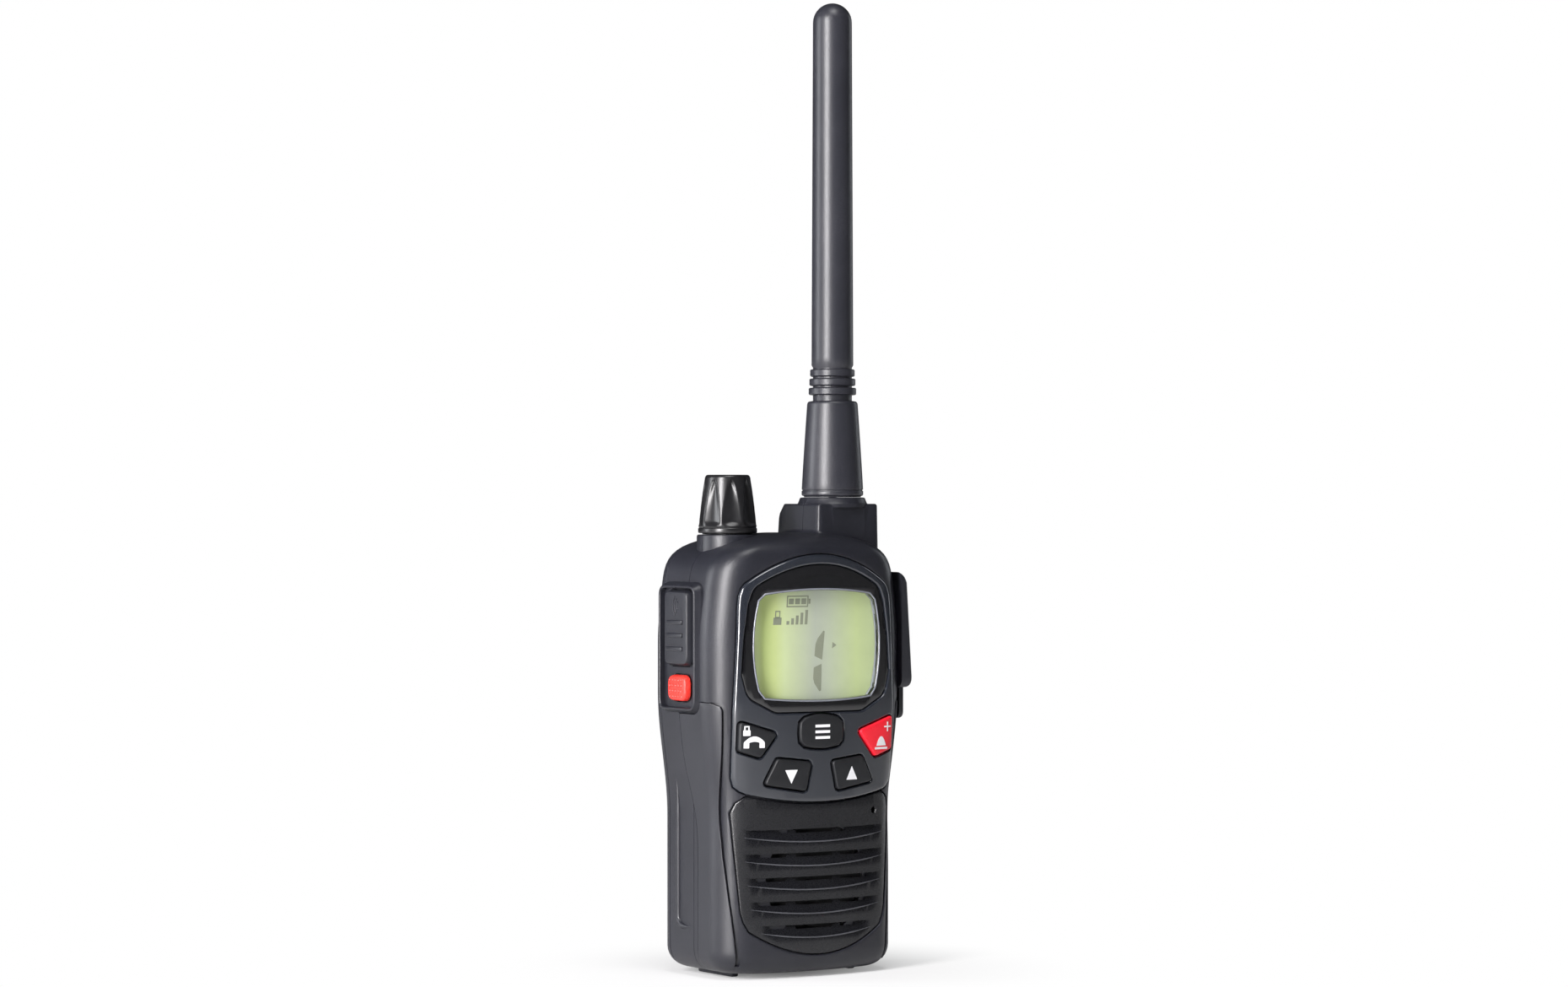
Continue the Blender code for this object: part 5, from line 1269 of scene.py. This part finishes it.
for z, radius in sockets["places"]:
    carve(obj, rod("socketPlug", (29.2 * mm, sockets["y"], z), (31.0 * mm, sockets["y"], z), radius, 32),
          operation="UNION")
finished(obj, "jack_flap", [gripSkin], ["jack_cover"])

# feet moulded under the case
for name, node, sign in (("leftFoot", "left_foot", -1), ("rightFoot", "right_foot", 1)):
    xs = sorted((sign * 18.2 * mm, sign * 20.6 * mm))
    obj = block(name, (xs[0], -5.0 * mm, 0.0), (xs[1], 12.5 * mm, 2.6 * mm))
    softened(obj, 0.5 * mm, 3)
    finished(obj, "case", [caseSkin], [node])
print("jack cover and feet made")

# battery door with thumb ribs
obj = flatFace("batteryDoor", doorOutline, -16.7 * mm)
buildUp(obj, [(0, 1.3 * mm)] + roundSteps(0.4 * mm, 3)
        + [(0.9 * mm, 0.0), (0.15 * mm, -0.3 * mm), (0.3 * mm, 0.0), (0.15 * mm, 0.3 * mm)])
placed(obj, turnBack)
for i in range(6):
    z = (59.0 + 1.5 * i) * mm
    carve(obj, rod("thumbRib", (-8.0 * mm, 18.25 * mm, z), (8.0 * mm, 18.25 * mm, z), 0.5 * mm, 16),
          operation="UNION")
finished(obj, "door", [caseSkin], ["battery_door"])

# belt clip, its bracket, pin and the case screws
clip = {"half": 8.0 * mm, "pinY": 22.9 * mm, "pinZ": 101.0 * mm, "pinFit": 1.1 * mm, "lugFit": 1.25 * mm}


def pinBore(radius):
    y, z = clip["pinY"], clip["pinZ"]
    return rod("pinBore", (-20 * mm, y, z), (20 * mm, y, z), radius, 32)


clipSide = scaled([(-23.8, 108.5), (-25.8, 108.5), (-25.8, 82.0), (-25.2, 78.0), (-23.8, 73.6), (-22.4, 73.0),
                   (-20.7, 73.2), (-20.6, 74.4), (-21.2, 75.6), (-22.8, 76.8), (-23.8, 80.0)])
obj = flatFace("beltClip", rounded(clipSide, 0.9 * mm, 4), clip["half"])
buildUp(obj, [(0, 2 * clip["half"])])
placed(obj, turnLeft)
carve(obj, block("clipLug", (-7.9 * mm, 20.9 * mm, 98.9 * mm), (7.9 * mm, 24.4 * mm, 103.1 * mm), 0.5 * mm),
      operation="UNION")
carve(obj, block("springSlot", (-3.4 * mm, 18.9 * mm, 97.0 * mm), (3.4 * mm, 25.0 * mm, 105.0 * mm)),
      pinBore(clip["lugFit"]))
softened(obj, 0.45 * mm, 3, 60)
for z in (103.2 * mm, 104.6 * mm, 106.0 * mm, 107.2 * mm):
    carve(obj, rod("thumbGroove", (-5.6 * mm, 26.0 * mm, z), (5.6 * mm, 26.0 * mm, z), 0.45 * mm, 16))
for x in (-4.6 * mm, 4.6 * mm):
    carve(obj, rod("bladeGroove", (x, 26.05 * mm, 82.0 * mm), (x, 26.05 * mm, 100.0 * mm), 0.6 * mm, 20))
finished(obj, "clip", [caseSkin], ["belt_clip"])

bracketOutline = rounded(scaled([(-12.5, 94.0), (12.5, 94.0), (12.5, 108.0), (-12.5, 108.0)]), 2.2 * mm, 5)
obj = flatFace("clipBracket", bracketOutline, -18.55 * mm)
buildUp(obj, [(0, 0.95 * mm)] + roundSteps(0.4 * mm, 3))
placed(obj, turnBack)
for sign in (-1, 1):
    xs = sorted((sign * 8.3 * mm, sign * 10.1 * mm))
    carve(obj, block("bracketEar", (xs[0], 19.2 * mm, 98.0 * mm), (xs[1], 25.1 * mm, 104.0 * mm), 0.4 * mm),
          operation="UNION")
carve(obj, pinBore(clip["pinFit"]))
finished(obj, "case", [caseSkin], ["clip_bracket"])

obj = spun("clipPin", scaled([(0.75, -10.0), (1.0, -9.75), (1.0, 9.75), (0.75, 10.0)]), (0, 0), 32)
obj.data.transform(Matrix.Translation((0, clip["pinY"], clip["pinZ"])) @ Matrix.Rotation(math.pi / 2, 4, "Y"))
finished(obj, "case", [steelSkin], ["clip_pin"])

screwProfile = scaled([(0.35, -3.0), (1.1, -2.0), (1.1, 17.3), (2.0, 17.45), (2.1, 17.6), (2.1, 17.85),
                       (1.95, 18.02), (1.4, 18.14), (0.7, 18.18)])
for i, (x, z) in enumerate(screwPlaces):
    obj = spun(f"caseScrew{i + 1}", screwProfile, (0, 0), 40)
    for wide, tall in ((1.1 * mm, 0.25 * mm), (0.25 * mm, 1.1 * mm)):
        carve(obj, block("crossSlot", (-wide, -tall, 17.6 * mm), (wide, tall, 19.0 * mm)))
    obj.data.transform(Matrix.Translation((x, 0, z)) @ Matrix.Rotation(-math.pi / 2, 4, "X"))
    finished(obj, "case", [steelSkin], [f"case_screw_{i + 1}"])
print("back pieces made")

# battery cells with crimped ends and a nub
cell = {"y": 9.0 * mm, "first": 16.0 * mm, "pitch": 14.7 * mm}
cellProfile = scaled([(3.6, -24.6), (4.4, -24.55), (4.6, -24.3), (6.4, -24.3), (6.9, -24.15), (7.1, -23.8),
                      (7.1, 22.3), (6.9, 22.75), (6.3, 22.9), (5.2, 22.8), (2.85, 22.85), (2.75, 23.1),
                      (2.75, 24.3), (2.45, 24.6)])
for i in range(4):
    obj = spun(f"batteryCell{i + 1}", cellProfile, (0, 0), 48)
    turn = Matrix.Rotation(math.pi / 2 if i % 2 else -math.pi / 2, 4, "Y")
    obj.data.transform(Matrix.Translation((0, cell["y"], cell["first"] + cell["pitch"] * i)) @ turn)
    finished(obj, "case", [wrapSkin, steelSkin], [f"battery_cell_{i + 1}"])
    for face in obj.data.polygons:
        if abs(face.center.x) > 23.3 * mm or (abs(face.center.x) > 22.4 * mm and abs(face.normal.x) > 0.9):
            face.material_index = 1
print("cells made")

# finishes for the inner nodes that come from the frame
nodeSkins = {
    "case_plastic": caseSkin, "grip_rubber": gripSkin, "key_rubber": matSkin, "steel": steelSkin,
    "brass": brassSkin, "board_green": boardSkin, "paper_cone": coneSkin, "inner_plastic": innerSkin,
    "panel_black": panelSkin, "display_green": lcdFace, "cell_wrap": wrapSkin, "lens_black": lensGloss,
    "bezel_smoke": bezelSmoke, "key_red": keyRed, "button_red": sideRed, "knob_black": knobGloss,
    "antenna_rubber": antennaSkin,
}
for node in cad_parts.values():
    if node.hide_render:
        continue
    for holder in node.material_slots:
        name = (holder.material.name if holder.material else "case_plastic").split(".")[0]
        holder.material = nodeSkins[name]
print("inner nodes finished")
